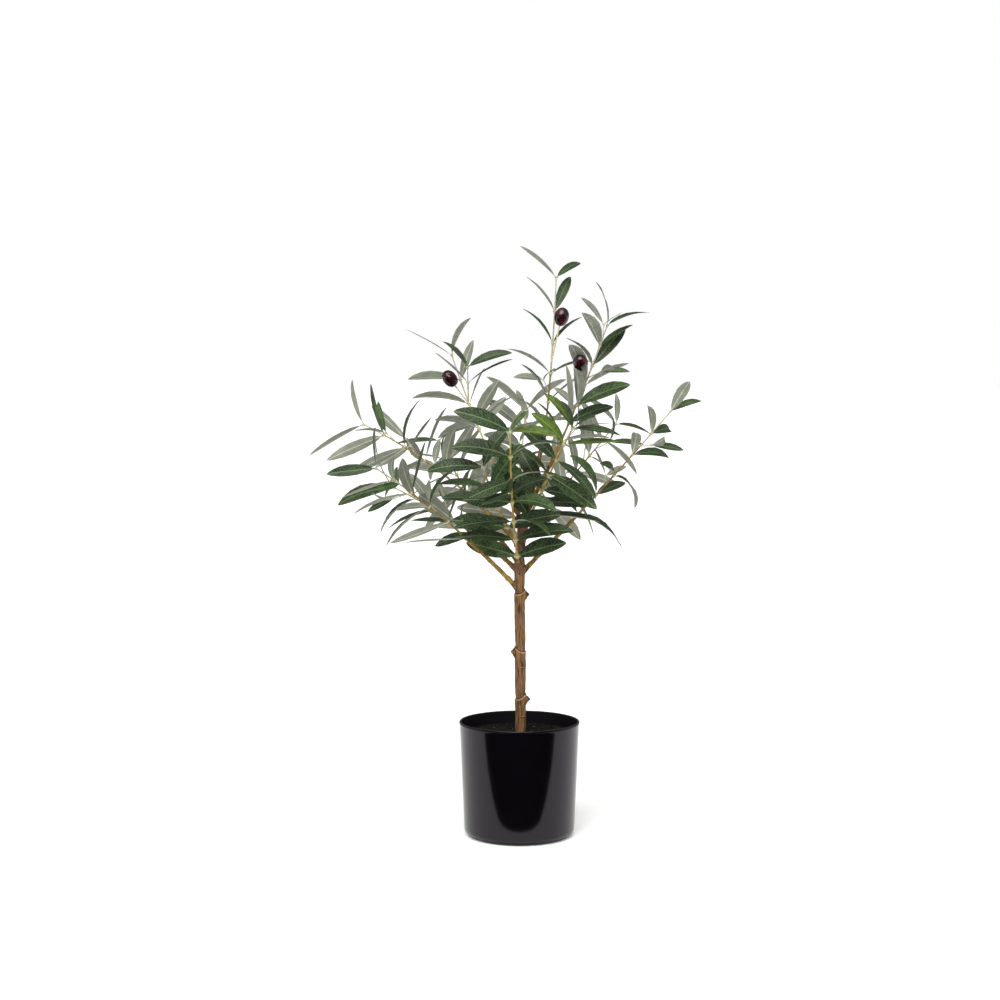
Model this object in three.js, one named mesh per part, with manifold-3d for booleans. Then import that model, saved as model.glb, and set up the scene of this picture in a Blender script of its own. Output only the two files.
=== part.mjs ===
// Artificial olive tree, about 590 mm tall, in a glossy pot with a 121 mm rim.
// Millimetres, +Z up, -Y at the front, the origin at the centre of the pot's underside.
import * as THREE from "three";
import { mergeVertices } from "three/addons/utils/BufferGeometryUtils.js";
import Module from "manifold-3d";

const wasm = await Module();
wasm.setup();

// ---------------------------------------------------------------- driving dimensions

const GAP = 0.3; // left between neighbouring solids

const POT = {
  height: 116,
  rimRadius: 60.6,
  footRadius: 55.4,
  wall: 1.8,
  floor: 3,
  footCorner: 6,
  lip: { height: 2.4, proud: 0.4 },
  sides: 40,
};
const SOIL_LEVEL = 103;

const TRUNK = {
  footRadius: 5,
  forkRadius: 5.3,
  tipRadius: 1.8,
  fork: 283, // height where the boughs part and the leader starts to lean
  top: 405,
  lean: [25.5, 10], // sideways reach of the leader's tip, to the right and to the back
  footShift: 1.4, // the foot stands this far to the right of the fork
  sides: 12,
  ringSpacing: 12,
};
// Sawn-off side branches: height on the trunk, and the side they point to in degrees from the front.
const STUBS = [
  { height: 133, heading: 90 },
  { height: 181, heading: 270 },
  { height: 239, heading: 90 },
];
const STUB = { reach: 10.5, footRadius: 3.6, tipRadius: 2.8, rise: 48 };

const BOUGH = { footRadius: 2.5, tipRadius: 1.7, sides: 7, steps: 9 };
const STEM = { footRadius: 1.4, tipRadius: 0.8, nodeSwell: 0.6, sides: 5, lead: 3 };
const TWIG = { radius: 0.9, tipRadius: 0.5, splay: 42, length: 37, heading: 75, sides: 3, steps: 3 };
const OLIVE = { radius: 7, halfLength: 9, stalkRadius: 0.7, sunk: 2, around: 8, rings: 6 };
const LEAF = {
  thickness: 0.9,
  stalk: 0.07, // share of the length that is bare stalk
  stalkWidth: 0.13, // as a share of the blade's width
  stations: [0, 0.2, 0.5, 0.8, 1],
  sag: 0.06, // drop of the tip as a share of the length
};

// How leaves are dealt out along every stem.
const GROWTH = {
  tries: 6,
  turnSpread: 32,
  turnMore: 12, // wider by this with each try
  splaySpread: 14,
  lengthSpread: 0.16,
  slimSpread: 0.03,
  twistSpread: 48,
  limbClear: 1.6,
  stemClear: 0.8,
  ownLeafClear: 2.4,
  otherLeafClear: 5,
};

// One row for each limb: where it leaves the trunk (rise), the knee and tip of its curve, the bare
// share of it that is bough, then what grows on the rest. leaf, splay and bend run from first to
// last: lengths in mm, angles in degrees off the stem and of the blade's own curl. turn is the side
// of the first pair, and slim the width of a blade as a share of its length.
const LIMBS = [
  { name: "front", rise: 268, knee: [-9, -50, 322], tip: [-10, -112, 412],
    bare: 0.14, pairs: 7, leaf: [58, 54], splay: [66, 58], turn: 90, bend: [5, 60],
    slim: 0.28, seed: 239 },
  { name: "front_right", rise: 306, knee: [22, -46, 356], tip: [50, -84, 414],
    bare: 0.16, pairs: 7, leaf: [64, 52], splay: [68, 64], turn: 90, bend: [5, 45],
    slim: 0.27, seed: 584 },
  { name: "front_left", rise: 288, knee: [-22, -38, 330], tip: [-36, -78, 376],
    bare: 0.3, pairs: 4, leaf: [58, 54], splay: [60, 50], turn: 90, bend: [5, 50],
    slim: 0.27, seed: 478 },
  { name: "top", rise: 404, knee: [33, 16, 470], tip: [37, 25, 562],
    bare: 0.04, pairs: 6, leaf: [54, 54], splay: [38, 34], turn: 120, bend: [5, 45],
    slim: 0.16, seed: 459, leader: true, olive: { at: 0.5, right: 12.5, front: 4, stalk: 37 } },
  { name: "upper_right", rise: 330, knee: [50, -12, 410], tip: [86, -25, 513],
    bare: 0.4, pairs: 7, leaf: [58, 54], splay: [42, 34], turn: 120, bend: [0, 40],
    slim: 0.22, seed: 139, olive: { at: 0.68, right: -8, front: 50, stalk: 32 } },
  { name: "upper_left", rise: 312, knee: [-38, 62, 390], tip: [-70, 100, 484],
    bare: 0.3, pairs: 6, leaf: [56, 56], splay: [64, 36], turn: 105, bend: [0, 45],
    slim: 0.21, seed: 51, twigs: 2, olive: { at: 0.72, right: -37, front: 0, stalk: 24 } },
  { name: "left_low", rise: 248, knee: [-75, -31, 330], tip: [-140, -58, 374],
    bare: 0.36, pairs: 6, leaf: [62, 50], splay: [62, 50], turn: 90, bend: [-10, 60],
    slim: 0.2, seed: 300 },
  { name: "left_high", rise: 292, knee: [-74, 48, 372], tip: [-162, 85, 412],
    bare: 0.36, pairs: 6, leaf: [58, 70], splay: [58, 48], turn: 90, bend: [-10, 60],
    slim: 0.18, seed: 65, twigs: 1 },
  { name: "left_mid", rise: 266, knee: [-48, 14, 312], tip: [-127, 25, 350],
    bare: 0.42, pairs: 5, leaf: [58, 64], splay: [47, 42], turn: 45, bend: [0, 50],
    slim: 0.21, seed: 810 },
  { name: "right_low", rise: 264, knee: [66, -4, 330], tip: [151, 0, 428],
    bare: 0.42, pairs: 6, leaf: [58, 42], splay: [72, 30], turn: 135, bend: [-5, 70],
    slim: 0.21, seed: 464 },
  { name: "back_right", rise: 298, knee: [52, 60, 356], tip: [102, 98, 412],
    bare: 0.28, pairs: 6, leaf: [58, 48], splay: [72, 57], turn: 105, bend: [0, 50],
    slim: 0.2, seed: 432, olive: { at: 0.64, right: 10, front: -30, stalk: 24 } },
  { name: "back", rise: 286, knee: [-2, 70, 345], tip: [8, 140, 425],
    bare: 0.26, pairs: 7, leaf: [60, 52], splay: [62, 45], turn: 90, bend: [0, 50],
    slim: 0.23, seed: 280, twigs: 1, olive: { at: 0.48, right: 0, front: -10, stalk: 24 } },
  { name: "back_left", rise: 276, knee: [-52, 62, 330], tip: [-84, 120, 394],
    bare: 0.3, pairs: 6, leaf: [60, 50], splay: [62, 45], turn: 90, bend: [0, 50],
    slim: 0.22, seed: 394 },
];

// ---------------------------------------------------------------- solids and paths

const vec = (x, y, z) => new THREE.Vector3(x, y, z);
const radians = THREE.MathUtils.degToRad;
const mix = THREE.MathUtils.lerp;
const FRONT = vec(0, -1, 0);

// A three.js geometry as a manifold solid, and back.
function solid(geometry) {
  geometry.deleteAttribute("normal");
  geometry.deleteAttribute("uv");
  const merged = mergeVertices(geometry, 1e-4);
  const mesh = new wasm.Mesh({
    numProp: 3,
    vertProperties: merged.attributes.position.array,
    triVerts: new Uint32Array(merged.index.array),
  });
  return new wasm.Manifold(mesh);
}

function geometryOf(body) {
  const { vertProperties, triVerts } = body.getMesh();
  const geometry = new THREE.BufferGeometry();
  geometry.setAttribute("position", new THREE.BufferAttribute(vertProperties, 3));
  geometry.setIndex(new THREE.BufferAttribute(triVerts, 1));
  geometry.computeVertexNormals();
  return geometry;
}

const join = (solids) => solids.reduce((all, next) => all.add(next));

// Two directions square to a limb: the first as near to the front as it can be.
function crossAxes(along) {
  const first = FRONT.clone().addScaledVector(along, -FRONT.dot(along)).normalize();
  return [first, along.clone().cross(first)];
}

// A closed tapering tube: rings is a list of {at, along, radius}.
function tube(rings, sides) {
  const steps = rings.length - 1;
  const geometry = new THREE.CylinderGeometry(1, 1, 1, sides, steps);
  const position = geometry.attributes.position;
  const frames = rings.map((ring) => crossAxes(ring.along));
  for (let i = 0; i < position.count; i++) {
    const k = Math.round((position.getY(i) + 0.5) * steps);
    const point = rings[k].at.clone();
    point.addScaledVector(frames[k][0], position.getZ(i) * rings[k].radius);
    point.addScaledVector(frames[k][1], position.getX(i) * rings[k].radius);
    position.setXYZ(i, point.x, point.y, point.z);
  }
  return solid(geometry);
}

function straightTube(from, to, footRadius, tipRadius, sides, steps = 1) {
  const along = to.clone().sub(from).normalize();
  const rings = [];
  for (let k = 0; k <= steps; k++) {
    const share = k / steps;
    rings.push({ at: from.clone().lerp(to, share), along, radius: mix(footRadius, tipRadius, share) });
  }
  return tube(rings, sides);
}

// A solid turned about the Z axis from a path of radius and height.
function turned(path, sides) {
  const geometry = new THREE.LatheGeometry(path.getPoints(3), sides);
  return solid(geometry.rotateX(Math.PI / 2));
}

// ---------------------------------------------------------------- pot, soil and trunk

// Radius of the pot's outside at a height.
const potRadius = (z) => mix(POT.footRadius, POT.rimRadius - POT.lip.proud, z / POT.height);

function makePot() {
  const corner = POT.footCorner;
  const lipFoot = POT.height - POT.lip.height;
  const inner = POT.rimRadius - POT.lip.proud - POT.wall;
  const path = new THREE.Path();
  path.moveTo(0, 0);
  path.lineTo(POT.footRadius - corner, 0);
  path.absarc(potRadius(corner) - corner, corner, corner, -Math.PI / 2, 0, false);
  path.lineTo(potRadius(lipFoot), lipFoot);
  path.lineTo(POT.rimRadius, lipFoot + POT.lip.proud);
  path.lineTo(POT.rimRadius, POT.height - POT.lip.proud);
  path.lineTo(POT.rimRadius - POT.lip.proud, POT.height);
  path.lineTo(inner, POT.height);
  path.lineTo(potRadius(POT.floor) - POT.wall, POT.floor + corner / 2);
  path.lineTo(potRadius(POT.floor) - POT.wall - corner / 2, POT.floor);
  path.lineTo(0, POT.floor);
  return turned(path, POT.sides);
}

// The fill stands clear of the pot's wall all round, and rests just over its floor.
function makeSoil() {
  const floor = POT.floor + GAP;
  const corner = POT.footCorner / 2 + 1;
  const radiusAt = (z) => potRadius(z) - POT.wall - GAP - 0.3;
  const path = new THREE.Path();
  path.moveTo(0, floor);
  path.lineTo(radiusAt(floor) - corner, floor);
  path.lineTo(radiusAt(floor), floor + corner);
  path.lineTo(radiusAt(SOIL_LEVEL), SOIL_LEVEL);
  path.lineTo(0, SOIL_LEVEL);
  return turned(path, POT.sides);
}

// The trunk is all but plumb up to the fork, then leans to the right and back.
function trunkAxis(z) {
  const share = Math.max(0, (z - TRUNK.fork) / (TRUNK.top - TRUNK.fork));
  const below = Math.max(0, (TRUNK.fork - z) / (TRUNK.fork - SOIL_LEVEL));
  return vec(TRUNK.lean[0] * share ** 1.15 + TRUNK.footShift * below, TRUNK.lean[1] * share, z);
}

function trunkRadius(z) {
  const shoulder = TRUNK.fork - 6;
  if (z < shoulder) {
    return mix(TRUNK.footRadius, TRUNK.forkRadius, (z - SOIL_LEVEL) / (shoulder - SOIL_LEVEL));
  }
  const share = Math.min(1, (z - shoulder) / (TRUNK.top - shoulder));
  return mix(TRUNK.forkRadius, TRUNK.tipRadius, share ** 0.55);
}

const LEADER = LIMBS.find((limb) => limb.leader);

function trunkTube(extra) {
  const foot = SOIL_LEVEL + GAP;
  const steps = Math.round((LEADER.rise - foot) / TRUNK.ringSpacing);
  const rings = [];
  for (let k = 0; k <= steps; k++) {
    const z = mix(foot, LEADER.rise, k / steps);
    const ahead = trunkAxis(z + 0.5);
    const behind = trunkAxis(z - 0.5);
    rings.push({ at: trunkAxis(z), along: ahead.sub(behind).normalize(), radius: trunkRadius(z) + extra });
  }
  return tube(rings, TRUNK.sides);
}

function makeStub(stub) {
  const heading = radians(stub.heading);
  const rise = radians(STUB.rise);
  const out = vec(Math.sin(heading) * Math.cos(rise), -Math.cos(heading) * Math.cos(rise), Math.sin(rise));
  const from = trunkAxis(stub.height);
  const to = from.clone().addScaledVector(out, STUB.reach);
  return straightTube(from, to, STUB.footRadius, STUB.tipRadius, 8);
}

// ---------------------------------------------------------------- the growth rule

// A small random sequence, the same for the same seed everywhere.
class Dice {
  constructor(seed) {
    this.state = (seed * 7919 + 12345) % 4294967296;
    for (let i = 0; i < 3; i++) this.next();
  }
  next() {
    this.state = (this.state * 1664525 + 1013904223) % 4294967296;
    return this.state / 4294967296;
  }
  spread(size) {
    return (2 * this.next() - 1) * size;
  }
}

// A limb's curve, from the trunk's axis past its knee to its tip.
const limbCurve = (limb) =>
  new THREE.QuadraticBezierCurve3(trunkAxis(limb.rise), vec(...limb.knee), vec(...limb.tip));

function curveSlope(curve, t) {
  const first = curve.v1.clone().sub(curve.v0).multiplyScalar(2 * (1 - t));
  return first.addScaledVector(curve.v2.clone().sub(curve.v1), 2 * t);
}

const curveDirection = (curve, t) => curveSlope(curve, t).normalize();

// Directions of a shoot that leaves a stem on the side turn, splay degrees off it: its own, and
// that of its upper face.
function shootAxes(along, turn, splay) {
  const [first, second] = crossAxes(along);
  const side = first.multiplyScalar(Math.cos(radians(turn)));
  side.addScaledVector(second, Math.sin(radians(turn)));
  const c = Math.cos(radians(splay));
  const s = Math.sin(radians(splay));
  const out = along.clone().multiplyScalar(c).addScaledVector(side, s);
  const face = along.clone().multiplyScalar(s).addScaledVector(side, -c);
  return [out, face];
}

// Side twigs of a limb, alternately on its left and right.
function twigsOf(limb, curve) {
  const twigs = [];
  const count = limb.twigs ?? 0;
  for (let w = 0; w < count; w++) {
    const along = ((w + 1) / (count + 1)) * 0.75 + 0.12;
    const t = limb.bare + (1 - limb.bare) * along;
    const heading = w % 2 ? 360 - TWIG.heading : TWIG.heading;
    const [out] = shootAxes(curveDirection(curve, t), limb.turn + heading, TWIG.splay);
    const root = curve.getPoint(t);
    twigs.push({ root, out, along, tip: root.clone().addScaledVector(out, TWIG.length) });
  }
  return twigs;
}

// The olive of a limb stands on a stalk that leans to the right and front by the angles given.
function oliveOf(limb, curve) {
  if (!limb.olive) return null;
  const { at, right, front, stalk } = limb.olive;
  const out = vec(Math.tan(radians(right)), -Math.tan(radians(front)), 1).normalize();
  return { root: curve.getPoint(at), out, stalk };
}

// Width of a blade at a share of its length, as a share of its greatest width.
function outline(share) {
  if (share < LEAF.stalk) return LEAF.stalkWidth;
  const x = (share - LEAF.stalk) / (1 - LEAF.stalk);
  if (x >= 1) return 0;
  return Math.max(LEAF.stalkWidth * (1 - x), Math.sin(Math.PI * Math.min(1, x ** 1.05)) ** 0.62);
}

function makeLeaf(root, along, turn, splay, length, width, bend, twist) {
  const [out, flat] = shootAxes(along, turn, splay);
  const face = flat.clone().multiplyScalar(Math.cos(radians(twist)));
  face.addScaledVector(out.clone().cross(flat), Math.sin(radians(twist)));
  return { root, out, face, side: out.clone().cross(face), length, width, bend: radians(bend) };
}

// Centre line of a leaf: an arc that curls away from its upper face, with the tip sagging.
function leafMiddle(leaf, share) {
  const bend = Math.abs(leaf.bend) > 1e-6 ? leaf.bend : 1e-6;
  const point = leaf.root.clone();
  point.addScaledVector(leaf.out, (leaf.length * Math.sin(bend * share)) / bend);
  point.addScaledVector(leaf.face, (-leaf.length * (1 - Math.cos(bend * share))) / bend);
  point.z -= LEAF.sag * leaf.length * share * share;
  return point;
}

// Test points of a leaf: 14 rows of three, from its root to its tip.
function leafPoints(leaf) {
  const points = [];
  for (let row = 1; row <= 14; row++) {
    const share = (row / 14) * 0.97;
    const middle = leafMiddle(leaf, share);
    const reach = outline(share) * 0.5 * 0.85 * leaf.width;
    points.push(middle);
    points.push(middle.clone().addScaledVector(leaf.side, reach));
    points.push(middle.clone().addScaledVector(leaf.side, -reach));
  }
  return points;
}

// Whatever is woody or fruit, as balls that a leaf has to miss.
function limbBalls(limb, owner) {
  const { curve, twigs, olive } = limb;
  const balls = [];
  for (let k = 0; k < 48; k++) {
    balls.push({ owner, at: curve.getPoint(k / 47), radius: 1.6 });
  }
  for (const twig of twigs) {
    for (let k = 1; k < 10; k++) {
      balls.push({ owner, at: twig.root.clone().lerp(twig.tip, k / 9), radius: 1.2 });
    }
  }
  if (olive) {
    for (let k = 1; k < 9; k++) {
      const at = olive.root.clone().addScaledVector(olive.out, (olive.stalk * k) / 8);
      balls.push({ owner, at, radius: 0.8 });
    }
    for (const step of [-4, 0, 4]) {
      const at = olive.root.clone().addScaledVector(olive.out, olive.stalk + OLIVE.halfLength + step);
      balls.push({ owner, at, radius: 6 });
    }
  }
  return balls;
}

function trunkBalls() {
  const balls = [];
  for (let z = SOIL_LEVEL; z < TRUNK.top; z += 3) {
    balls.push({ owner: -1, at: trunkAxis(z), radius: trunkRadius(z) });
  }
  return balls;
}

const meets = (points, balls, clear) =>
  points.some((point) => balls.some((ball) => point.distanceTo(ball.at) < ball.radius + clear));

const near = (points, others, clear) =>
  points.some((point) => others.some((other) => point.distanceTo(other) < clear));

// Where leaves sit on a limb: pairs along its stem, then pairs along each twig.
function leafNodes(limb, dice) {
  const nodes = [];
  for (let k = 0; k < limb.pairs; k++) {
    const along = k / (limb.pairs - 1);
    const t = limb.bare + (1 - limb.bare) * along * 0.995;
    const at = limb.curve.getPoint(t);
    nodes.push({ at, stem: curveDirection(limb.curve, t), along, turn: limb.turn, scale: 1 });
  }
  for (const twig of limb.twigs) {
    for (const share of [0.55, 1]) {
      const at = twig.root.clone().addScaledVector(twig.out, TWIG.length * share);
      const turn = limb.turn + (share > 0.9 ? 90 : 0) + dice.spread(40);
      nodes.push({ at, stem: twig.out, along: twig.along, turn, scale: 0.85 });
    }
  }
  return nodes;
}

// One throw of the dice for a leaf on one side of a node.
function tryLeaf(limb, node, side, attempt, dice) {
  const turn = node.turn + side + dice.spread(GROWTH.turnSpread + GROWTH.turnMore * attempt);
  const splay = mix(limb.splay[0], limb.splay[1], node.along) + dice.spread(GROWTH.splaySpread);
  const full = node.scale * mix(limb.leaf[0], limb.leaf[1], node.along);
  const length = full * (1 + dice.spread(GROWTH.lengthSpread));
  const width = length * (limb.slim + dice.spread(GROWTH.slimSpread));
  const bend = limb.bend[0] + dice.next() * (limb.bend[1] - limb.bend[0]);
  const twist = dice.spread(GROWTH.twistSpread);
  return makeLeaf(node.at, node.stem, turn, splay, length, width, bend, twist);
}

// Leaves of one limb. A leaf that would touch a limb or a neighbour is thrown again, and in the
// end left out.
function growLeaves(limb, owner, balls, taken) {
  const dice = new Dice(limb.seed);
  const otherBalls = balls.filter((ball) => ball.owner !== owner);
  const ownBalls = balls.filter((ball) => ball.owner === owner);
  const leaves = [];
  const ownPoints = [];
  for (const node of leafNodes(limb, dice)) {
    for (const side of [0, 180]) {
      for (let attempt = 0; attempt < GROWTH.tries; attempt++) {
        const leaf = tryLeaf(limb, node, side, attempt, dice);
        const points = leafPoints(leaf);
        if (meets(points.slice(6), otherBalls, GROWTH.limbClear)) continue;
        if (meets(points.slice(15), ownBalls, GROWTH.stemClear)) continue;
        if (near(points.slice(9), ownPoints, GROWTH.ownLeafClear)) continue;
        if (near(points.slice(3), taken, GROWTH.otherLeafClear)) continue;
        leaves.push(leaf);
        ownPoints.push(...points);
        break;
      }
    }
  }
  taken.push(...ownPoints);
  return leaves;
}

// ---------------------------------------------------------------- boughs and foliage

// The share of a curve that is so many millimetres long at t.
const shareOf = (curve, t, distance) => distance / curveSlope(curve, t).length();

// Where a limb stops being bough and starts being foliage stem.
function stemStart(limb) {
  if (limb.leader) return shareOf(limb.curve, 0, GAP + 0.15);
  return limb.bare - shareOf(limb.curve, limb.bare, STEM.lead);
}

function makeBough(limb, trunk) {
  const end = stemStart(limb) - shareOf(limb.curve, limb.bare, GAP);
  const rings = [];
  for (let k = 0; k <= BOUGH.steps; k++) {
    const share = k / BOUGH.steps;
    const t = share * end;
    const radius = mix(BOUGH.footRadius, BOUGH.tipRadius, share);
    rings.push({ at: limb.curve.getPoint(t), along: curveDirection(limb.curve, t), radius });
  }
  return tube(rings, BOUGH.sides).subtract(trunk);
}

// The stem swells a little at each pair of leaves.
function makeStem(limb) {
  const { curve } = limb;
  const start = stemStart(limb);
  const ring = (t, swell) => {
    const share = (t - start) / (1 - start);
    const radius = mix(STEM.footRadius, STEM.tipRadius, share) + swell;
    return { at: curve.getPoint(t), along: curveDirection(curve, t), radius };
  };
  const rings = [ring(start, 0)];
  const step = (0.995 * (1 - limb.bare)) / (limb.pairs - 1);
  for (let k = 0; k < limb.pairs; k++) {
    const t = limb.bare + step * k;
    rings.push(ring(t, STEM.nodeSwell));
    if (k < limb.pairs - 1) rings.push(ring(t + step / 2, 0));
  }
  rings.push(ring(1, 0));
  return tube(rings, STEM.sides);
}

// A leaf is a three-cornered bar along its centre line: two edges, and a keel on the underside.
function leafSolid(leaf) {
  const steps = LEAF.stations.length - 1;
  const geometry = new THREE.CylinderGeometry(1, 1, 1, 3, steps);
  const position = geometry.attributes.position;
  const cornerX = Math.sin(radians(120));
  for (let i = 0; i < position.count; i++) {
    const share = LEAF.stations[Math.round((position.getY(i) + 0.5) * steps)];
    const angle = leaf.bend * share;
    const face = leaf.face.clone().multiplyScalar(Math.cos(angle));
    face.addScaledVector(leaf.out, Math.sin(angle));
    const halfWidth = Math.max(0.3, (outline(share) * leaf.width) / 2);
    const depth = (position.getZ(i) / 1.5) * LEAF.thickness;
    const point = leafMiddle(leaf, share);
    point.addScaledVector(leaf.side, (-position.getX(i) / cornerX) * halfWidth);
    point.addScaledVector(face, -depth);
    position.setXYZ(i, point.x, point.y, point.z);
  }
  return solid(geometry);
}

function makeOlive(olive) {
  const foot = olive.root;
  const neck = foot.clone().addScaledVector(olive.out, olive.stalk + OLIVE.sunk);
  const centre = foot.clone().addScaledVector(olive.out, olive.stalk + OLIVE.halfLength);
  const fruit = new THREE.SphereGeometry(1, OLIVE.around, OLIVE.rings);
  fruit.scale(OLIVE.radius, OLIVE.halfLength, OLIVE.radius);
  fruit.applyQuaternion(new THREE.Quaternion().setFromUnitVectors(vec(0, 1, 0), olive.out));
  fruit.translate(centre.x, centre.y, centre.z);
  const stalk = straightTube(foot, neck, OLIVE.stalkRadius * 1.3, OLIVE.stalkRadius, 4);
  return stalk.add(solid(fruit));
}

function makeFoliage(limb) {
  const solids = [makeStem(limb)];
  for (const twig of limb.twigs) {
    solids.push(straightTube(twig.root, twig.tip, TWIG.radius, TWIG.tipRadius, TWIG.sides, TWIG.steps));
  }
  for (const leaf of limb.leaves) {
    solids.push(leafSolid(leaf));
  }
  if (limb.olive) {
    solids.push(makeOlive(limb.olive));
  }
  return join(solids);
}

// ---------------------------------------------------------------- the tree

function material(colour, roughness) {
  return new THREE.MeshStandardMaterial({ color: colour, roughness, metalness: 0 });
}

const LOOKS = {
  pot: material("#0c0c0d", 0.12),
  soil: material("#2a2119", 0.95),
  trunk: material("#8a6745", 0.8),
  bough: material("#8c6d3b", 0.75),
  foliage: material("#5a6b50", 0.6),
};

function node(name, body, look) {
  const mesh = new THREE.Mesh(geometryOf(body), look);
  mesh.name = name;
  return mesh;
}

const limbs = LIMBS.map((row) => {
  const curve = limbCurve(row);
  return { ...row, curve, twigs: twigsOf(row, curve), olive: oliveOf(row, curve) };
});
const balls = [...trunkBalls(), ...limbs.flatMap((limb, owner) => limbBalls(limb, owner))];
const taken = [];
limbs.forEach((limb, owner) => {
  limb.leaves = growLeaves(limb, owner, balls, taken);
});

const planter = new THREE.Group();
planter.name = "planter";
planter.add(node("pot", makePot(), LOOKS.pot));
planter.add(node("soil", makeSoil(), LOOKS.soil));

const tree = new THREE.Group();
tree.name = "tree";
tree.add(node("trunk", join([trunkTube(0), ...STUBS.map(makeStub)]), LOOKS.trunk));
const trunkClearance = trunkTube(GAP + 0.1);
for (const limb of limbs) {
  if (!limb.leader) {
    tree.add(node(`bough_${limb.name}`, makeBough(limb, trunkClearance), LOOKS.bough));
  }
  tree.add(node(`foliage_${limb.name}`, makeFoliage(limb), LOOKS.foliage));
}

const oliveTree = new THREE.Group();
oliveTree.name = "olive_tree";
oliveTree.add(planter, tree);

export default oliveTree;
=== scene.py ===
"""Artificial olive tree in a glossy pot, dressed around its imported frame.

Laid out as a Blender add-on and run as a script. Sizes in the tables are millimetres, and every
mesh is written in metres, +Z up and -Y at the front, with its place in its vertices. A noise's
Scale is in cells per metre, so 500 is a cell of 2 mm. Headings are degrees round from the front
to the right.
"""

import math

import bpy
import numpy as np
from bpy.props import FloatProperty, FloatVectorProperty, IntProperty, PointerProperty
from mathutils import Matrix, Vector


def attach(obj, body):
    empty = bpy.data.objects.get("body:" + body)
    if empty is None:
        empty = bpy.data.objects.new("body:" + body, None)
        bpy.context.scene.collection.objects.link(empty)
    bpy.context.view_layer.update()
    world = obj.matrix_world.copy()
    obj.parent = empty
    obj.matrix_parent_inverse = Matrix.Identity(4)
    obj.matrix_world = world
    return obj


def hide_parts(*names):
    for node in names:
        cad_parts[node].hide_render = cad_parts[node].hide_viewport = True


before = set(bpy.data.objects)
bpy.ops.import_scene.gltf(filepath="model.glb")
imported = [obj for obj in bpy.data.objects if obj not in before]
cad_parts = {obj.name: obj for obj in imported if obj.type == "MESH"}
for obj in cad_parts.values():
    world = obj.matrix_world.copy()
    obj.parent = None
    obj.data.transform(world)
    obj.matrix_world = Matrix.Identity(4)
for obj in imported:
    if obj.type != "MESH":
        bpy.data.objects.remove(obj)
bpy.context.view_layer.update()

bl_info = {
    "name": "Artificial Olive Tree",
    "version": (1, 0, 0),
    "blender": (4, 5, 0),
    "location": "3D View > Sidebar > Olive Tree",
    "description": "Builds an artificial olive tree in a glossy pot, piece by piece",
    "category": "Add Mesh",
}

MM = 0.001

# ---------------------------------------------------------------- the tree's own dimensions

POT = {"height": 116, "rim": 60.6, "foot": 55.4, "wall": 1.8, "floor": 3, "corner": 8.5,
       "lip": 2.0, "proud": 0.3, "sides": 144}
SOIL_LEVEL = 103
SOIL = {"sides": 72, "rings": 22, "depth": 8, "gap": 0.25, "lump": 0.45, "heap": 1.6}
# A crumb of soil has three rings of five corners: radius, height and turn, for a size of one.
CRUMB_RINGS = ((0.45, -0.42, 0), (0.6, 0.1, 0.4), (0.3, 0.45, 0.9))
CRUMBS = {"per_square_metre": 230000.0, "seed": 11}
TRUNK = {"foot": 5.0, "fork_radius": 5.3, "tip": 1.8, "fork": 283, "top": 405, "lean": (25.5, 10),
         "foot_shift": 1.4}
# The trunk's skin: rings and sides of its tube, the passes that ease it once it is remeshed, and
# what remeshing and easing take off again.
SKIN = {"rings": 300, "sides": 40, "eased": 3, "taken_off": 0.3}
# Sawn-off side branches: height on the trunk and heading, then how long a stub is, how steeply it
# rises and the radius of its dark cut, then its radius along its reach.
STUBS = ((133, 90), (181, 270), (239, 90))
STUB = {"reach": 10.5, "rise": 48, "cut": 4.1}
STUB_RADII = ((0, 5.4), (0.35, 4.9), (0.6, 4.4), (0.8, 4.1), (0.93, 4.2), (1, 3.8))
# The swelling that each bough grows from: how far it reaches, then its radius along that.
SWELLING = {"reach": 13, "radii": ((0, 3.6), (0.5, 3.3), (0.75, 2.9), (1, 2.4))}
# The joint round the trunk at a stub, where the bark steps in: height over the stub's foot, again
# for how much it arches, then how far it stands out below and in above, and over what height.
JOINT = {"height": 5.5, "arch": 5.5, "out": 0.55, "out_fade": 5, "in": 0.75, "in_fade": 6}
# Marks in the moulded bark: height, heading, radius, depth (out if negative).
BARK_MARKS = ((265.7, -6, 1.3, 0.9), (240, -11, 1.2, 0.8), (193, 58, 1.7, 0.7),
              (143.3, 44, 1.7, 0.7), (228.4, 42, 1.6, -0.8))
# Small ledges where the bark above stands proud, each with a painted shadow under it: height and
# heading, then how far they go.
LEDGES = ((170.5, 42), (120.5, 34), (205, 250))
LEDGE = {"in": 0.35, "in_fade": 3, "out": 0.65, "out_fade": 4, "turn": 0.55}
# How many noise cells a metre the bark's grain has across and along, and its patches of tint.
TRUNK_GRAIN = {"across": 520, "lengthwise": 60, "patch": 55}
BOUGH_GRAIN = {"across": 420, "lengthwise": 160, "patch": 60}
TRUNK_RELIEF = 1.6  # how much deeper the trunk's grain is than the boughs'
RED_BOUGHS = ("front_right", "upper_left", "back")
BOUGH = {"foot": 2.5, "tip": 1.7}
STEM = {"foot": 1.4, "tip": 0.8, "swell": 0.5, "lead": 3}
# Radius of the thinner stems along their length: shares, radii.
THIN_STEM = ((0, 0.15, 1), (1.4, 1.0, 0.6))
# Share of a stem that is golden, or ochre, before it turns olive green and then pale.
GOLDEN_SHARE = {"front": 0.9, "front_right": 0.9, "front_left": 0.9, "top": 0.45,
                "upper_right": 0.3, "upper_left": 0.25}
# Twigs leave a stem over a spread of it, and carry their pairs of leaves at two shares.
TWIG = {"radius": 0.9, "tip": 0.5, "splay": 42, "length": 37, "heading": 75, "first": 0.12,
        "spread": 0.75, "pairs": (0.55, 1)}
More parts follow.
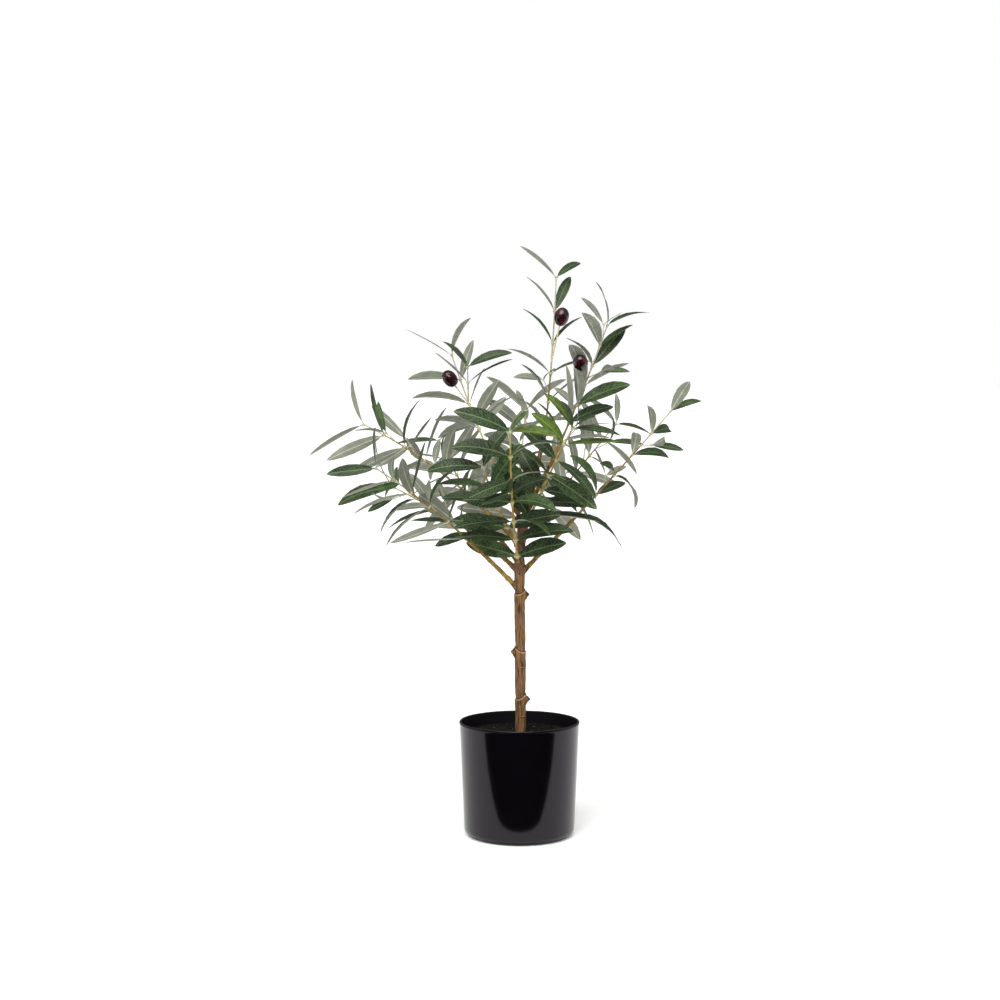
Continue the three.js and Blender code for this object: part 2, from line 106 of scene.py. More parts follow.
# Finishes of the stems, in the order of their numbers.
GOLDEN, OLIVE_GREEN, PALE, STALK, OCHRE = range(5)
SHOOT = {"radius": 0.6, "tip": 0.4, "splay": 48, "length": (11, 17)}
# Sizes of the collars: on thick stems from first to last, the thin stems' share of that, and on
# twigs and shoots.
COLLAR = {"first": 1.1, "last": 0.8, "thin": 0.75, "twig": 0.6, "shoot": 0.45}
OLIVE = {"radius": 7, "half": 9, "stalk": 0.7, "scale": 1.05}
LEAF = {"stalk": 0.07, "stalk_width": 0.13, "sag": 0.06}
LEAF_ROWS = (0, 0.07, 0.12, 0.22, 0.38, 0.56, 0.74, 0.88, 0.96, 0.99)
FULLER = 1.13  # how much wider a cloth blade is than the bar that stands for it
LEAF_SIZE = (13, 56)  # the blade that the veins are laid out on
VEIN_SHEET = 60  # what the vein layout's unit square stands for
VEIN_GAP = 4.2  # between one side vein and the next
CAMERA = {"place": (-19.5, -2000, 480), "target": (-19.5, 0, 339), "lens": 72.2}

# How leaves are dealt out along every stem.
GROWTH = {"tries": 6, "turn": 32, "turn_more": 12, "splay": 14, "length": 0.16, "slim": 0.03,
          "twist": 48, "limb_clear": 1.6, "stem_clear": 0.8, "own_leaf_clear": 2.4,
          "other_leaf_clear": 5}
# Radii of what is woody or fruit, where leaves are kept off it.
WOODY = {"limb": 1.6, "twig": 1.2, "stalk": 0.8, "olive": 6}
# The young leaves that the finer growth ends in, and what they keep clear of.
YOUNG = {"splay": (24, 44), "length": (27, 38), "width": (6, 8), "bend": (0, 40), "turn": 30,
         "twist": 30, "limb_clear": 1.2, "fruit_clear": 3, "leaf_clear": 2.6}
LAST_PAIR = 0.995  # share of a limb's foliage that its last pair of leaves sits at

# One row for each limb: where it leaves the trunk, the knee and tip of its curve, the bare share
# of it that is bough, then the leaves on the rest, from first to last.
LIMBS = (
    {"name": "front", "rise": 268, "knee": (-9, -50, 322), "tip": (-10, -112, 412),
     "bare": 0.14, "pairs": 7, "leaf": (58, 54), "splay": (66, 58), "turn": 90, "bend": (5, 60),
     "slim": 0.28, "seed": 239},
    {"name": "front_right", "rise": 306, "knee": (22, -46, 356), "tip": (50, -84, 414),
     "bare": 0.16, "pairs": 7, "leaf": (64, 52), "splay": (68, 64), "turn": 90, "bend": (5, 45),
     "slim": 0.27, "seed": 584},
    {"name": "front_left", "rise": 288, "knee": (-22, -38, 330), "tip": (-36, -78, 376),
     "bare": 0.3, "pairs": 4, "leaf": (58, 54), "splay": (60, 50), "turn": 90, "bend": (5, 50),
     "slim": 0.27, "seed": 478},
    {"name": "top", "rise": 404, "knee": (33, 16, 470), "tip": (37, 25, 562),
     "bare": 0.04, "pairs": 6, "leaf": (54, 54), "splay": (38, 34), "turn": 120, "bend": (5, 45),
     "slim": 0.16, "seed": 459, "leader": True,
     "olive": {"at": 0.5, "right": 12.5, "front": 4, "stalk": 37}},
    {"name": "upper_right", "rise": 330, "knee": (50, -12, 410), "tip": (86, -25, 513),
     "bare": 0.4, "pairs": 7, "leaf": (58, 54), "splay": (42, 34), "turn": 120, "bend": (0, 40),
     "slim": 0.22, "seed": 139, "olive": {"at": 0.68, "right": -8, "front": 50, "stalk": 32}},
    {"name": "upper_left", "rise": 312, "knee": (-38, 62, 390), "tip": (-70, 100, 484),
     "bare": 0.3, "pairs": 6, "leaf": (56, 56), "splay": (64, 36), "turn": 105, "bend": (0, 45),
     "slim": 0.21, "seed": 51, "twigs": 2,
     "olive": {"at": 0.72, "right": -37, "front": 0, "stalk": 24}},
    {"name": "left_low", "rise": 248, "knee": (-75, -31, 330), "tip": (-140, -58, 374),
     "bare": 0.36, "pairs": 6, "leaf": (62, 50), "splay": (62, 50), "turn": 90,
     "bend": (-10, 60), "slim": 0.2, "seed": 300},
    {"name": "left_high", "rise": 292, "knee": (-74, 48, 372), "tip": (-162, 85, 412),
     "bare": 0.36, "pairs": 6, "leaf": (58, 70), "splay": (58, 48), "turn": 90,
     "bend": (-10, 60), "slim": 0.18, "seed": 65, "twigs": 1},
    {"name": "left_mid", "rise": 266, "knee": (-48, 14, 312), "tip": (-127, 25, 350),
     "bare": 0.42, "pairs": 5, "leaf": (58, 64), "splay": (47, 42), "turn": 45, "bend": (0, 50),
     "slim": 0.21, "seed": 810},
    {"name": "right_low", "rise": 264, "knee": (66, -4, 330), "tip": (151, 0, 428),
     "bare": 0.42, "pairs": 6, "leaf": (58, 42), "splay": (72, 30), "turn": 135,
     "bend": (-5, 70), "slim": 0.21, "seed": 464},
    {"name": "back_right", "rise": 298, "knee": (52, 60, 356), "tip": (102, 98, 412),
     "bare": 0.28, "pairs": 6, "leaf": (58, 48), "splay": (72, 57), "turn": 105,
     "bend": (0, 50), "slim": 0.2, "seed": 432,
     "olive": {"at": 0.64, "right": 10, "front": -30, "stalk": 24}},
    {"name": "back", "rise": 286, "knee": (-2, 70, 345), "tip": (8, 140, 425),
     "bare": 0.26, "pairs": 7, "leaf": (60, 52), "splay": (62, 45), "turn": 90, "bend": (0, 50),
     "slim": 0.23, "seed": 280, "twigs": 1,
     "olive": {"at": 0.48, "right": 0, "front": -10, "stalk": 24}},
    {"name": "back_left", "rise": 276, "knee": (-52, 62, 330), "tip": (-84, 120, 394),
     "bare": 0.3, "pairs": 6, "leaf": (60, 50), "splay": (62, 45), "turn": 90, "bend": (0, 50),
     "slim": 0.22, "seed": 394},
)

FRONT = np.array((0.0, -1.0, 0.0))


def linear(code):
    """Turn an sRGB hex value into a linear colour."""
    channels = [int(code[i:i + 2], 16) / 255 for i in (1, 3, 5)]
    return tuple(c / 12.92 if c <= 0.04045 else ((c + 0.055) / 1.055) ** 2.4 for c in channels)


# ---------------------------------------------------------------- the growth rule


def unit(vector):
    """The same direction with a length of one."""
    return vector / np.linalg.norm(vector)


def mix(first, last, share):
    """The value that lies a share of the way from the first to the last."""
    return first + (last - first) * share


class Dice:
    """A small random sequence, the same for the same seed everywhere."""

    def __init__(self, seed):
        self.state = (seed * 7919 + 12345) % 4294967296
        for _ in range(3):
            self.next()

    def next(self):
        self.state = (self.state * 1664525 + 1013904223) % 4294967296
        return self.state / 4294967296

    def spread(self, size):
        return (2 * self.next() - 1) * size


def trunk_axis(z):
    """Where the middle of the trunk is at a height: plumb to the fork, then leaning."""
    share = max(0.0, (z - TRUNK["fork"]) / (TRUNK["top"] - TRUNK["fork"]))
    below = max(0.0, (TRUNK["fork"] - z) / (TRUNK["fork"] - SOIL_LEVEL))
    return np.array((TRUNK["lean"][0] * share ** 1.15 + TRUNK["foot_shift"] * below,
                     TRUNK["lean"][1] * share, z))


def trunk_radius(z):
    """Radius of the bare trunk at a height: all but even to the fork, then tapering fast."""
    shoulder = TRUNK["fork"] - 6
    if z < shoulder:
        share = (z - SOIL_LEVEL) / (shoulder - SOIL_LEVEL)
        return mix(TRUNK["foot"], TRUNK["fork_radius"], share)
    share = min(1.0, (z - shoulder) / (TRUNK["top"] - shoulder))
    return mix(TRUNK["fork_radius"], TRUNK["tip"], share ** 0.55)


def cross_axes(along):
    """Two directions square to a limb: the first as near to the front as it can be."""
    first = unit(FRONT - FRONT.dot(along) * along)
    return first, np.cross(along, first)


def shoot_axes(along, turn, splay):
    """Directions of a shoot that leaves a stem: its own, and that of its upper face."""
    first, second = cross_axes(along)
    turn, splay = math.radians(turn), math.radians(splay)
    side = first * math.cos(turn) + second * math.sin(turn)
    return (along * math.cos(splay) + side * math.sin(splay),
            along * math.sin(splay) - side * math.cos(splay))


class Limb:
    """A limb's curve, from the trunk's axis past its knee to its tip, and what grows on it."""

    def __init__(self, row):
        self.row = row
        self.points = (trunk_axis(row["rise"]), np.array(row["knee"], float),
                       np.array(row["tip"], float))
        self.twigs = []
        count = row.get("twigs", 0)
        for w in range(count):
            along = (w + 1) / (count + 1) * TWIG["spread"] + TWIG["first"]
            t = mix(row["bare"], 1, along)
            heading = 360 - TWIG["heading"] if w % 2 else TWIG["heading"]
            out, _ = shoot_axes(self.along(t), row["turn"] + heading, TWIG["splay"])
            self.twigs.append({"root": self.at(t), "out": out, "along": along})
        self.olive = None
        if "olive" in row:
            olive = row["olive"]
            lean = (math.tan(math.radians(olive["right"])),
                    -math.tan(math.radians(olive["front"])), 1)
            self.olive = {"root": self.at(olive["at"]), "out": unit(np.array(lean)),
                          "stalk": olive["stalk"]}
        self.leaves = []
        self.shoots = []

    def at(self, t):
        a, b, c = self.points
        return a * (1 - t) ** 2 + b * 2 * t * (1 - t) + c * t * t

    def slope(self, t):
        a, b, c = self.points
        return (b - a) * 2 * (1 - t) + (c - b) * 2 * t

    def along(self, t):
        return unit(self.slope(t))

    def share_of(self, t, distance):
        """The share of the curve that a short distance takes up near a point."""
        return distance / np.linalg.norm(self.slope(t))

    def stem_start(self):
        """Where on the curve the leafy stem starts, a little inside its bough."""
        if self.row.get("leader"):
            return self.share_of(0, 0.45)
        return self.row["bare"] - self.share_of(self.row["bare"], STEM["lead"])


def outline(share):
    """Width of a blade at a share of its length, as a share of its greatest width."""
    if share < LEAF["stalk"]:
        return LEAF["stalk_width"]
    x = (share - LEAF["stalk"]) / (1 - LEAF["stalk"])
    if x >= 1:
        return 0.0
    full = math.sin(math.pi * min(1.0, x ** 1.05)) ** 0.62
    return max(LEAF["stalk_width"] * (1 - x), full)


# A leaf is tested in 14 rows, over 97% of its length and 85% of its width.
TEST_SHARES = np.arange(1, 15) / 14 * 0.97
TEST_REACH = np.array([outline(share) for share in TEST_SHARES]) * 0.5 * 0.85


def make_leaf(root, along, turn, splay, length, width, bend, twist):
    """A leaf's root, its own direction and that of its upper face and side, its size and bend."""
    out, flat = shoot_axes(along, turn, splay)
    twist = math.radians(twist)
    face = flat * math.cos(twist) + np.cross(out, flat) * math.sin(twist)
    bend = math.radians(bend)
    return {"root": root, "out": out, "face": face, "side": np.cross(out, face),
            "length": length, "width": width, "bend": bend if abs(bend) > 1e-6 else 1e-6}


def leaf_points(leaf):
    """Test points of a leaf: 14 rows of three, from its root to its tip."""
    arc = leaf["bend"] * TEST_SHARES
    reach = leaf["length"] / leaf["bend"]
    middle = leaf["root"] + np.outer(np.sin(arc) * reach, leaf["out"])
    middle -= np.outer((1 - np.cos(arc)) * reach, leaf["face"])
    middle[:, 2] -= LEAF["sag"] * leaf["length"] * TEST_SHARES ** 2
    half = np.outer(TEST_REACH * leaf["width"], leaf["side"])
    return np.stack((middle, middle + half, middle - half), 1).reshape(-1, 3)


def woody_balls(limbs):
    """Whatever is woody or fruit, as balls that a leaf has to miss: owner, place and radius."""
    balls = [(-1, trunk_axis(z), trunk_radius(z)) for z in range(SOIL_LEVEL, TRUNK["top"], 3)]
    for owner, limb in enumerate(limbs):
        balls += [(owner, limb.at(k / 47), WOODY["limb"]) for k in range(48)]
        for twig in limb.twigs:
            balls += [(owner, twig["root"] + twig["out"] * TWIG["length"] * k / 9,
                       WOODY["twig"]) for k in range(1, 10)]
        if limb.olive:
            root, out, stalk = limb.olive["root"], limb.olive["out"], limb.olive["stalk"]
            balls += [(owner, root + out * stalk * k / 8, WOODY["stalk"]) for k in range(1, 9)]
            balls += [(owner, root + out * (stalk + OLIVE["half"] + step), WOODY["olive"])
                      for step in (-4, 0, 4)]
    owners, places, radii = zip(*balls)
    return np.array(owners), np.array(places), np.array(radii, float)


def touches(points, places, clear):
    """Whether any point is closer to a place than clear, which may differ from place to place."""
    if not len(places):
        return False
    apart = ((points[:, None] - places[None]) ** 2).sum(2)
    return bool((apart < np.square(clear)).any())


def leaf_nodes(limb, dice):
    """Where leaves sit on a limb: pairs along its stem, then pairs along each twig."""
    row = limb.row
    nodes = []
    for k in range(row["pairs"]):
        along = k / (row["pairs"] - 1)
        t = mix(row["bare"], 1, along * LAST_PAIR)
        nodes.append({"at": limb.at(t), "stem": limb.along(t), "along": along,
                      "turn": row["turn"], "scale": 1.0})
    for twig in limb.twigs:
        for share in TWIG["pairs"]:
            turn = row["turn"] + (90 if share == 1 else 0) + dice.spread(40)
            nodes.append({"at": twig["root"] + twig["out"] * TWIG["length"] * share,
                          "stem": twig["out"], "along": twig["along"], "turn": turn,
                          "scale": 0.85})
    return nodes


def try_leaf(row, node, side, attempt, dice):
    """One throw of the dice for a leaf on one side of a node."""
    turn = node["turn"] + side + dice.spread(GROWTH["turn"] + GROWTH["turn_more"] * attempt)
    splay = mix(*row["splay"], node["along"]) + dice.spread(GROWTH["splay"])
    length = node["scale"] * mix(*row["leaf"], node["along"])
    length *= 1 + dice.spread(GROWTH["length"])
    width = length * (row["slim"] + dice.spread(GROWTH["slim"]))
    bend = mix(*row["bend"], dice.next())
    return make_leaf(node["at"], node["stem"], turn, splay, length, width, bend,
                     dice.spread(GROWTH["twist"]))


def grow_leaves(limb, owner, balls, taken):
    """Leaves of one limb. One that would touch something is thrown again, and then left out.
    Three test points make a row, and a leaf's first rows may be close to what it grows from."""
    owners, places, radii = balls
    other, own = owners != owner, owners == owner
    dice = Dice(limb.row["seed"])
    own_points = np.zeros((0, 3))
    for node in leaf_nodes(limb, dice):
        for side in (0, 180):
            for attempt in range(GROWTH["tries"]):
                leaf = try_leaf(limb.row, node, side, attempt, dice)
                points = leaf_points(leaf)
                if (touches(points[6:], places[other], radii[other] + GROWTH["limb_clear"])
                        or touches(points[15:], places[own], radii[own] + GROWTH["stem_clear"])
                        or touches(points[9:], own_points, GROWTH["own_leaf_clear"])
                        or touches(points[3:], taken, GROWTH["other_leaf_clear"])):
                    continue
                leaf["along"] = node["along"]
                limb.leaves.append(leaf)
                own_points = np.concatenate((own_points, points))
                break
    return np.concatenate((taken, own_points))


def grow_shoots(limb, owner, balls, taken):
    """Finer growth within the spray's reach: a young pair at its tip and, past every second pair
    of leaves, a short side shoot with a young pair of its own."""
    owners, places, radii = balls
    other = owners != owner
    row = limb.row
    dice = Dice(row["seed"] + 5000)
    places_to_try = [{"at": limb.at(1), "stem": limb.along(1), "turn": row["turn"] + 90,
                      "length": 0.0}]
    step = LAST_PAIR * (1 - row["bare"]) / (row["pairs"] - 1)
    for k in range(1, row["pairs"] - 1, 2):
        t = row["bare"] + step * (k + 0.42)
        turn = row["turn"] + 90 + 90 * (k % 4 - 1) + dice.spread(25)
        places_to_try.append({"at": limb.at(t), "stem": limb.along(t), "turn": turn,
                              "length": mix(*SHOOT["length"], dice.next())})
    fruit = np.zeros((0, 3))
    if limb.olive:
        reach = limb.olive["stalk"] + OLIVE["half"]
        fruit = np.array([limb.olive["root"] + limb.olive["out"] * (reach + step)
                          for step in (-6, 0, 6)])
    for place in places_to_try:
        root, out = place["at"], place["stem"]
        if place["length"]:
            out, _ = shoot_axes(place["stem"], place["turn"], SHOOT["splay"])
        tip = root + out * place["length"]
        pair = []
        for side in (0, 180):
            turn = place["turn"] + 90 + side + dice.spread(YOUNG["turn"])
            splay, length, width, bend = (mix(*YOUNG[word], dice.next())
                                          for word in ("splay", "length", "width", "bend"))
            leaf = make_leaf(tip, out, turn, splay, length, width, bend,
                             dice.spread(YOUNG["twist"]))
            leaf["young"] = True
            points = leaf_points(leaf)[3:]
            if not (touches(points, places[other], radii[other] + YOUNG["limb_clear"])
                    or touches(points, fruit, OLIVE["radius"] + YOUNG["fruit_clear"])
                    or touches(points, taken, YOUNG["leaf_clear"])):
                pair.append(leaf)
        if place["length"] and len(pair) < 2:
            continue
        for leaf in pair:
            taken = np.concatenate((taken, leaf_points(leaf)))
        limb.leaves += pair
        if place["length"]:
            limb.shoots.append({"root": root, "out": out, "length": place["length"]})
    return taken


def grow_tree():
    """Every limb of the tree with its leaves, in the same order as the solids."""
    limbs = [Limb(row) for row in LIMBS]
    balls = woody_balls(limbs)
    taken = np.zeros((0, 3))
    for owner, limb in enumerate(limbs):
        taken = grow_leaves(limb, owner, balls, taken)
    for owner, limb in enumerate(limbs):
        taken = grow_shoots(limb, owner, balls, taken)
    return limbs


TREE = grow_tree()

# ---------------------------------------------------------------- meshes, nodes and materials


def add_node(tree, kind, links=None, out=None, **settings):
    """Add a node with its settings, and a link or a value for each input, by name or number. What
    comes back is the output that out names, the first one in use, or the node if it has none."""
    node = tree.nodes.new(kind)
    for name, value in settings.items():
        setattr(node, name, value)
    for name, value in (links or {}).items():
        socket = node.inputs[name] if isinstance(name, int) else next(
            s for s in node.inputs if name in (s.identifier, s.name) and s.enabled)
        if isinstance(value, bpy.types.NodeSocket):
            tree.links.new(value, socket)
        else:
            socket.default_value = value
    if out:
        return node.outputs[out]
    return next((socket for socket in node.outputs if socket.enabled), node)


def mesh_object(name, vertices, faces, edges=(), smooth=True):
    """An object at the origin with its vertices given in millimetres."""
    mesh = bpy.data.meshes.new(name)
    mesh.from_pydata((np.asarray(vertices, float) * MM).tolist(), list(edges), list(faces))
    mesh.polygons.foreach_set("use_smooth", [smooth] * len(mesh.polygons))
    mesh.update()
    piece = bpy.data.objects.new(name, mesh)
    bpy.context.scene.collection.objects.link(piece)
    return piece


def add_attributes(mesh, kind, **columns):
    """Give every point of a mesh a value of each name."""
    key = "vector" if kind == "FLOAT_VECTOR" else "value"
    for name, values in columns.items():
        attribute = mesh.attributes.new(name, kind, "POINT")
        attribute.data.foreach_set(key, np.asarray(values).ravel())


def geometry_tree(name, sizes):
    """A node tree with a geometry in and out and one named input for each size."""
    tree = bpy.data.node_groups.new(name, "GeometryNodeTree")
    tree.interface.new_socket("Geometry", in_out="INPUT", socket_type="NodeSocketGeometry")
    tree.interface.new_socket("Geometry", in_out="OUTPUT", socket_type="NodeSocketGeometry")
    for size in sizes:
        tree.interface.new_socket(size, in_out="INPUT", socket_type="NodeSocketFloat")
    start = add_node(tree, "NodeGroupInput").node
    return tree, {socket.name: socket for socket in start.outputs if socket.name}


def deal_out(tree, points, blank, **laid):
    """One blank on every point, as real geometry."""
    shape = add_node(tree, "GeometryNodeObjectInfo", {"Object": blank}, out="Geometry")
    dealt = add_node(tree, "GeometryNodeInstanceOnPoints",
                     {"Points": points, "Instance": shape, **laid})
    return add_node(tree, "GeometryNodeRealizeInstances", {"Geometry": dealt})


def roughen(tree, geometry, relief, span, heights, **noise):
    """Push a surface in and out along its normals: by the two heights, as shares of the relief,
    where a noise stands at the two ends of a span."""
    bumps = add_node(tree, "ShaderNodeTexNoise", noise)
    height = add_node(tree, "ShaderNodeMapRange",
                      {"Value": bumps, "From Min": span[0], "From Max": span[1],
                       "To Min": heights[0], "To Max": heights[1]})
    depth = add_node(tree, "ShaderNodeMath", {0: height, 1: relief}, operation="MULTIPLY")
    normal = add_node(tree, "GeometryNodeInputNormal")
    push = add_node(tree, "ShaderNodeVectorMath", {0: normal, "Scale": depth}, operation="SCALE")
    moved = add_node(tree, "GeometryNodeSetPosition", {"Geometry": geometry, "Offset": push})
    smooth = add_node(tree, "GeometryNodeSetShadeSmooth", {"Geometry": moved})
    return add_node(tree, "GeometryNodeRealizeInstances", {"Geometry": smooth})


def dress(tree, geometry, attribute, finishes):
    """Give each face the finish that its number in an attribute names, and end the tree."""
    number = add_node(tree, "GeometryNodeInputNamedAttribute", {"Name": attribute},
                      data_type="INT")
    for k, finish in enumerate(finishes):
        chosen = add_node(tree, "FunctionNodeCompare", {"A": number, "B": k}, data_type="INT",
                          operation="EQUAL")
        geometry = add_node(tree, "GeometryNodeSetMaterial",
                            {"Geometry": geometry, "Selection": chosen, "Material": finish})
    add_node(tree, "NodeGroupOutput", {"Geometry": geometry})


# What a finished mesh may carry. The rest served its node tree.
KEPT_ATTRIBUTES = ("position", "material_index", "sharp_edge", "sharp_face", "UVMap")


def settle(piece, tree, **sizes):
    """Run a node tree, and whatever else stands on the piece, and keep the plain mesh. A size is
    named as its input is, in small letters and with _ for a space."""
    modifier = piece.modifiers.new("Rule", "NODES")
    modifier.node_group = tree
    for item in tree.interface.items_tree:
        word = item.name.lower().replace(" ", "_")
        if item.in_out == "INPUT" and word in sizes:
            modifier[item.identifier] = sizes[word]
    graph = bpy.context.evaluated_depsgraph_get()
    mesh = bpy.data.meshes.new_from_object(piece.evaluated_get(graph))
    if not mesh.polygons:
        raise RuntimeError(f"{piece.name} came out empty")
    piece.modifiers.clear()
    piece.data = mesh
    mesh.name = piece.name
    for name in [attribute.name for attribute in mesh.attributes]:
        if name not in KEPT_ATTRIBUTES and not name.startswith("."):
            mesh.attributes.remove(mesh.attributes[name])


def hand_over(piece, nodes=()):
    """Let a piece ride on the plant's one body, in place of some solids."""
    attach(piece, "root")
    if nodes:
        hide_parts(*nodes)


def new_material(name, **sockets):
    """A material on one Principled shader, with its constant values on the shader's sockets."""
    material = bpy.data.materials.new(name)
    material.use_nodes = True
    tree = material.node_tree
    tree.nodes.clear()
    shader = add_node(tree, "ShaderNodeBsdfPrincipled").node
    for socket, value in sockets.items():
        shader.inputs[socket.replace("_", " ")].default_value = value
    add_node(tree, "ShaderNodeOutputMaterial", {"Surface": shader.outputs[0]})
    return material, tree, shader


def clouded(tree, vector, first, second, span=(0.0, 1.0), most=1.0, **noise):
    """One colour clouded with another, by up to a share, where a noise rises through a span. What
    comes back is the colour and the noise."""
    cloud = add_node(tree, "ShaderNodeTexNoise", {"Vector": vector, **noise})
    share = add_node(tree, "ShaderNodeMapRange", {"Value": cloud, "From Min": span[0],
                                                  "From Max": span[1], "To Max": most})
    first, second = (colour if isinstance(colour, bpy.types.NodeSocket) else (*colour, 1)
                     for colour in (first, second))
    tint = add_node(tree, "ShaderNodeMix", {"Factor": share, "A": first, "B": second},
                    data_type="RGBA")
    return tint, cloud


def cover(shader, tint, height=None, strength=0.0, depth=0.0):
    """Link a shader's colour pattern, and its bump of a depth in millimetres if it has one."""
    tree = shader.id_data
    tree.links.new(tint, shader.inputs["Base Color"])
    if height is not None:
        bump = add_node(tree, "ShaderNodeBump", {"Strength": strength, "Distance": depth * MM,
                                                 "Height": height})
        tree.links.new(bump, shader.inputs["Normal"])


def turned_mesh(profile, sides):
    """Vertices and faces of a closed profile of radius and height turned about the Z axis."""
    vertices, rings = [], []
    for radius, height in profile:
        if radius < 1e-6:
            rings.append([len(vertices)] * sides)
            vertices.append((0, 0, height))
            continue
        rings.append(list(range(len(vertices), len(vertices) + sides)))
        for k in range(sides):
            angle = 2 * math.pi * k / sides
            vertices.append((radius * math.sin(angle), -radius * math.cos(angle), height))
    faces = []
    for lower, upper in zip(rings, rings[1:]):
        for k in range(sides):
            j = (k + 1) % sides
            corners = dict.fromkeys((lower[k], lower[j], upper[j], upper[k]))
            if len(corners) > 2:
                faces.append(tuple(corners))
    return vertices, faces


def tube_mesh(rings):
    """Vertices and faces of a closed tube: rings of (centre, along, radii round it)."""
    vertices, faces = [], []
    sides = len(rings[0][2])
    angles = 2 * np.pi * np.arange(sides) / sides
    for centre, along, radii in rings:
        first, second = cross_axes(along)
        ring = np.outer(np.cos(angles) * radii, first) + np.outer(np.sin(angles) * radii, second)
        vertices.append(centre + ring)
    for k in range(len(rings) - 1):
        for i in range(sides):
            j = (i + 1) % sides
            a, b = k * sides, (k + 1) * sides
            faces.append((a + i, a + j, b + j, b + i))
    faces.append(tuple(reversed(range(sides))))
    faces.append(tuple(range((len(rings) - 1) * sides, len(rings) * sides)))
    return np.concatenate(vertices), faces


def joined(parts):
    """Several parts' vertices and faces as one."""
    vertices, faces, count = [], [], 0
    for some, corners in parts:
        vertices.append(np.asarray(some, float))
        faces += [tuple(c + count for c in face) for face in corners]
        count += len(some)
    return np.concatenate(vertices), faces


# ---------------------------------------------------------------- settings


def colour_property(name, code, about):
    return FloatVectorProperty(name=name, description=about, default=linear(code), size=3,
                               min=0, max=1, subtype="COLOR")


def length_property(name, millimetres, about):
    return FloatProperty(name=name, description=about, default=millimetres * MM, min=0,
                         unit="LENGTH", subtype="DISTANCE", precision=5)


class PotSettings(bpy.types.PropertyGroup):
    colour: colour_property("Plastic", "#050406", "Colour of the moulded plastic")
    crumb: length_property("Crumb size", 3.52, "Size of the largest, 1.14 of it at its corners")
    # Near black: the peat's own dark colour, darkened further as painted shade of the pot's rim
    # over the soil.
    soil: colour_property("Soil", "#060504", "Colour of the glued soil")


class BarkSettings(bpy.types.PropertyGroup):
    relief: length_property("Relief", 0.5, "Depth of the boughs' grain, which the trunk's follows")
    light: colour_property("Ridges", "#8a6437", "Colour of the bark's ridges")
    dark: colour_property("Hollows", "#23160a", "Colour of the wash in the bark's hollows")
    bough: colour_property("Boughs", "#917231", "Colour of the thin boughs")
    detail: length_property("Finest detail", 0.55, "Spacing of the remeshed bark")


class LeafSettings(bpy.types.PropertyGroup):
    thickness: length_property("Thickness", 0.25, "Thickness of the cloth at the midrib")
    wave: length_property("Wave", 2.2, "How far a blade waves out of its arc")
    dark: colour_property("Dark green", "#22351a", "Upper face of most leaves")
    middle: colour_property("Middle green", "#2f4a20", "Upper face of lighter leaves")
    bright: colour_property("Young green", "#41581c", "Upper face of young leaves")
    under: colour_property("Underside", "#8a8e7c", "Grey-green underside")
    rib: colour_property("Midrib", "#c3c6b4", "Raised midrib of the underside")
    seed: IntProperty(name="Seed", description="Seed of folds, waves and shades", default=46)


class StemSettings(bpy.types.PropertyGroup):
    golden: colour_property("Stem foot", "#aa9448", "Stems near the boughs")
    pale: colour_property("Stem tip", "#9c9780", "Stems near their tips")
    collar: colour_property("Collars", "#b9b48f", "Moulded collars that hold the leaves")
    olive: colour_property("Olives", "#16060a", "Skin of the olives")


class StageSettings(bpy.types.PropertyGroup):
    floor: colour_property("Floor", "#f4f4f2", "Plain floor")
    sun: FloatProperty(name="Key", description="Strength of the soft key light", default=3.2,
                       min=0)
    sky: FloatProperty(name="Fill", description="Strength of the soft fill light", default=0.48,
                       min=0)


# ---------------------------------------------------------------- pot and soil


def pot_radius(z):
    """Outside radius of the pot's wall at a height."""
    return mix(POT["foot"], POT["rim"] - POT["proud"], z / POT["height"])


def arc_points(centre, radius, start, end, steps):
    """Points of an outline along an arc, from one angle to another in degrees."""
    angles = np.radians(np.linspace(start, end, steps + 1))
    return [(centre[0] + radius * math.cos(a), centre[1] + radius * math.sin(a)) for a in angles]


def pot_profile():
    """Outline of half the pot, from the middle of its underside round to the middle inside."""
    corner, rim, height = POT["corner"], POT["rim"], POT["height"]
    lip_foot, edge = height - POT["lip"], 0.85
    inner = rim - POT["proud"] - POT["wall"]
    path = [(0, 0.4), (POT["foot"] - 14, 0.4), (POT["foot"] - 12, 0), (POT["foot"] - corner, 0)]
    path += arc_points((pot_radius(corner) - corner, corner), corner, -86, 0, 8)
    path += [(pot_radius(z), z)
             for z in (corner + 1.5, corner + 6, 40, 80, lip_foot - 1.5, lip_foot - 0.35)]
    path += [(pot_radius(lip_foot) + 0.1, lip_foot - 0.05), (rim - 0.12, lip_foot + 0.2),
             (rim, lip_foot + 0.5), (rim, height - 1.0)]
    path += arc_points((rim - edge, height - edge), edge, 8, 90, 5)
    path += arc_points((inner + edge, height - edge), edge, 94, 180, 5)
    path += [(inner - 0.05, height - 1.4)]
    path += [(pot_radius(z) - POT["wall"], z) for z in (height - 4, 98, 90)]
    floor_radius = pot_radius(POT["floor"]) - POT["wall"]
    path += [(floor_radius, POT["floor"] + 3), (floor_radius - 3, POT["floor"]), (0, POT["floor"])]
    return path


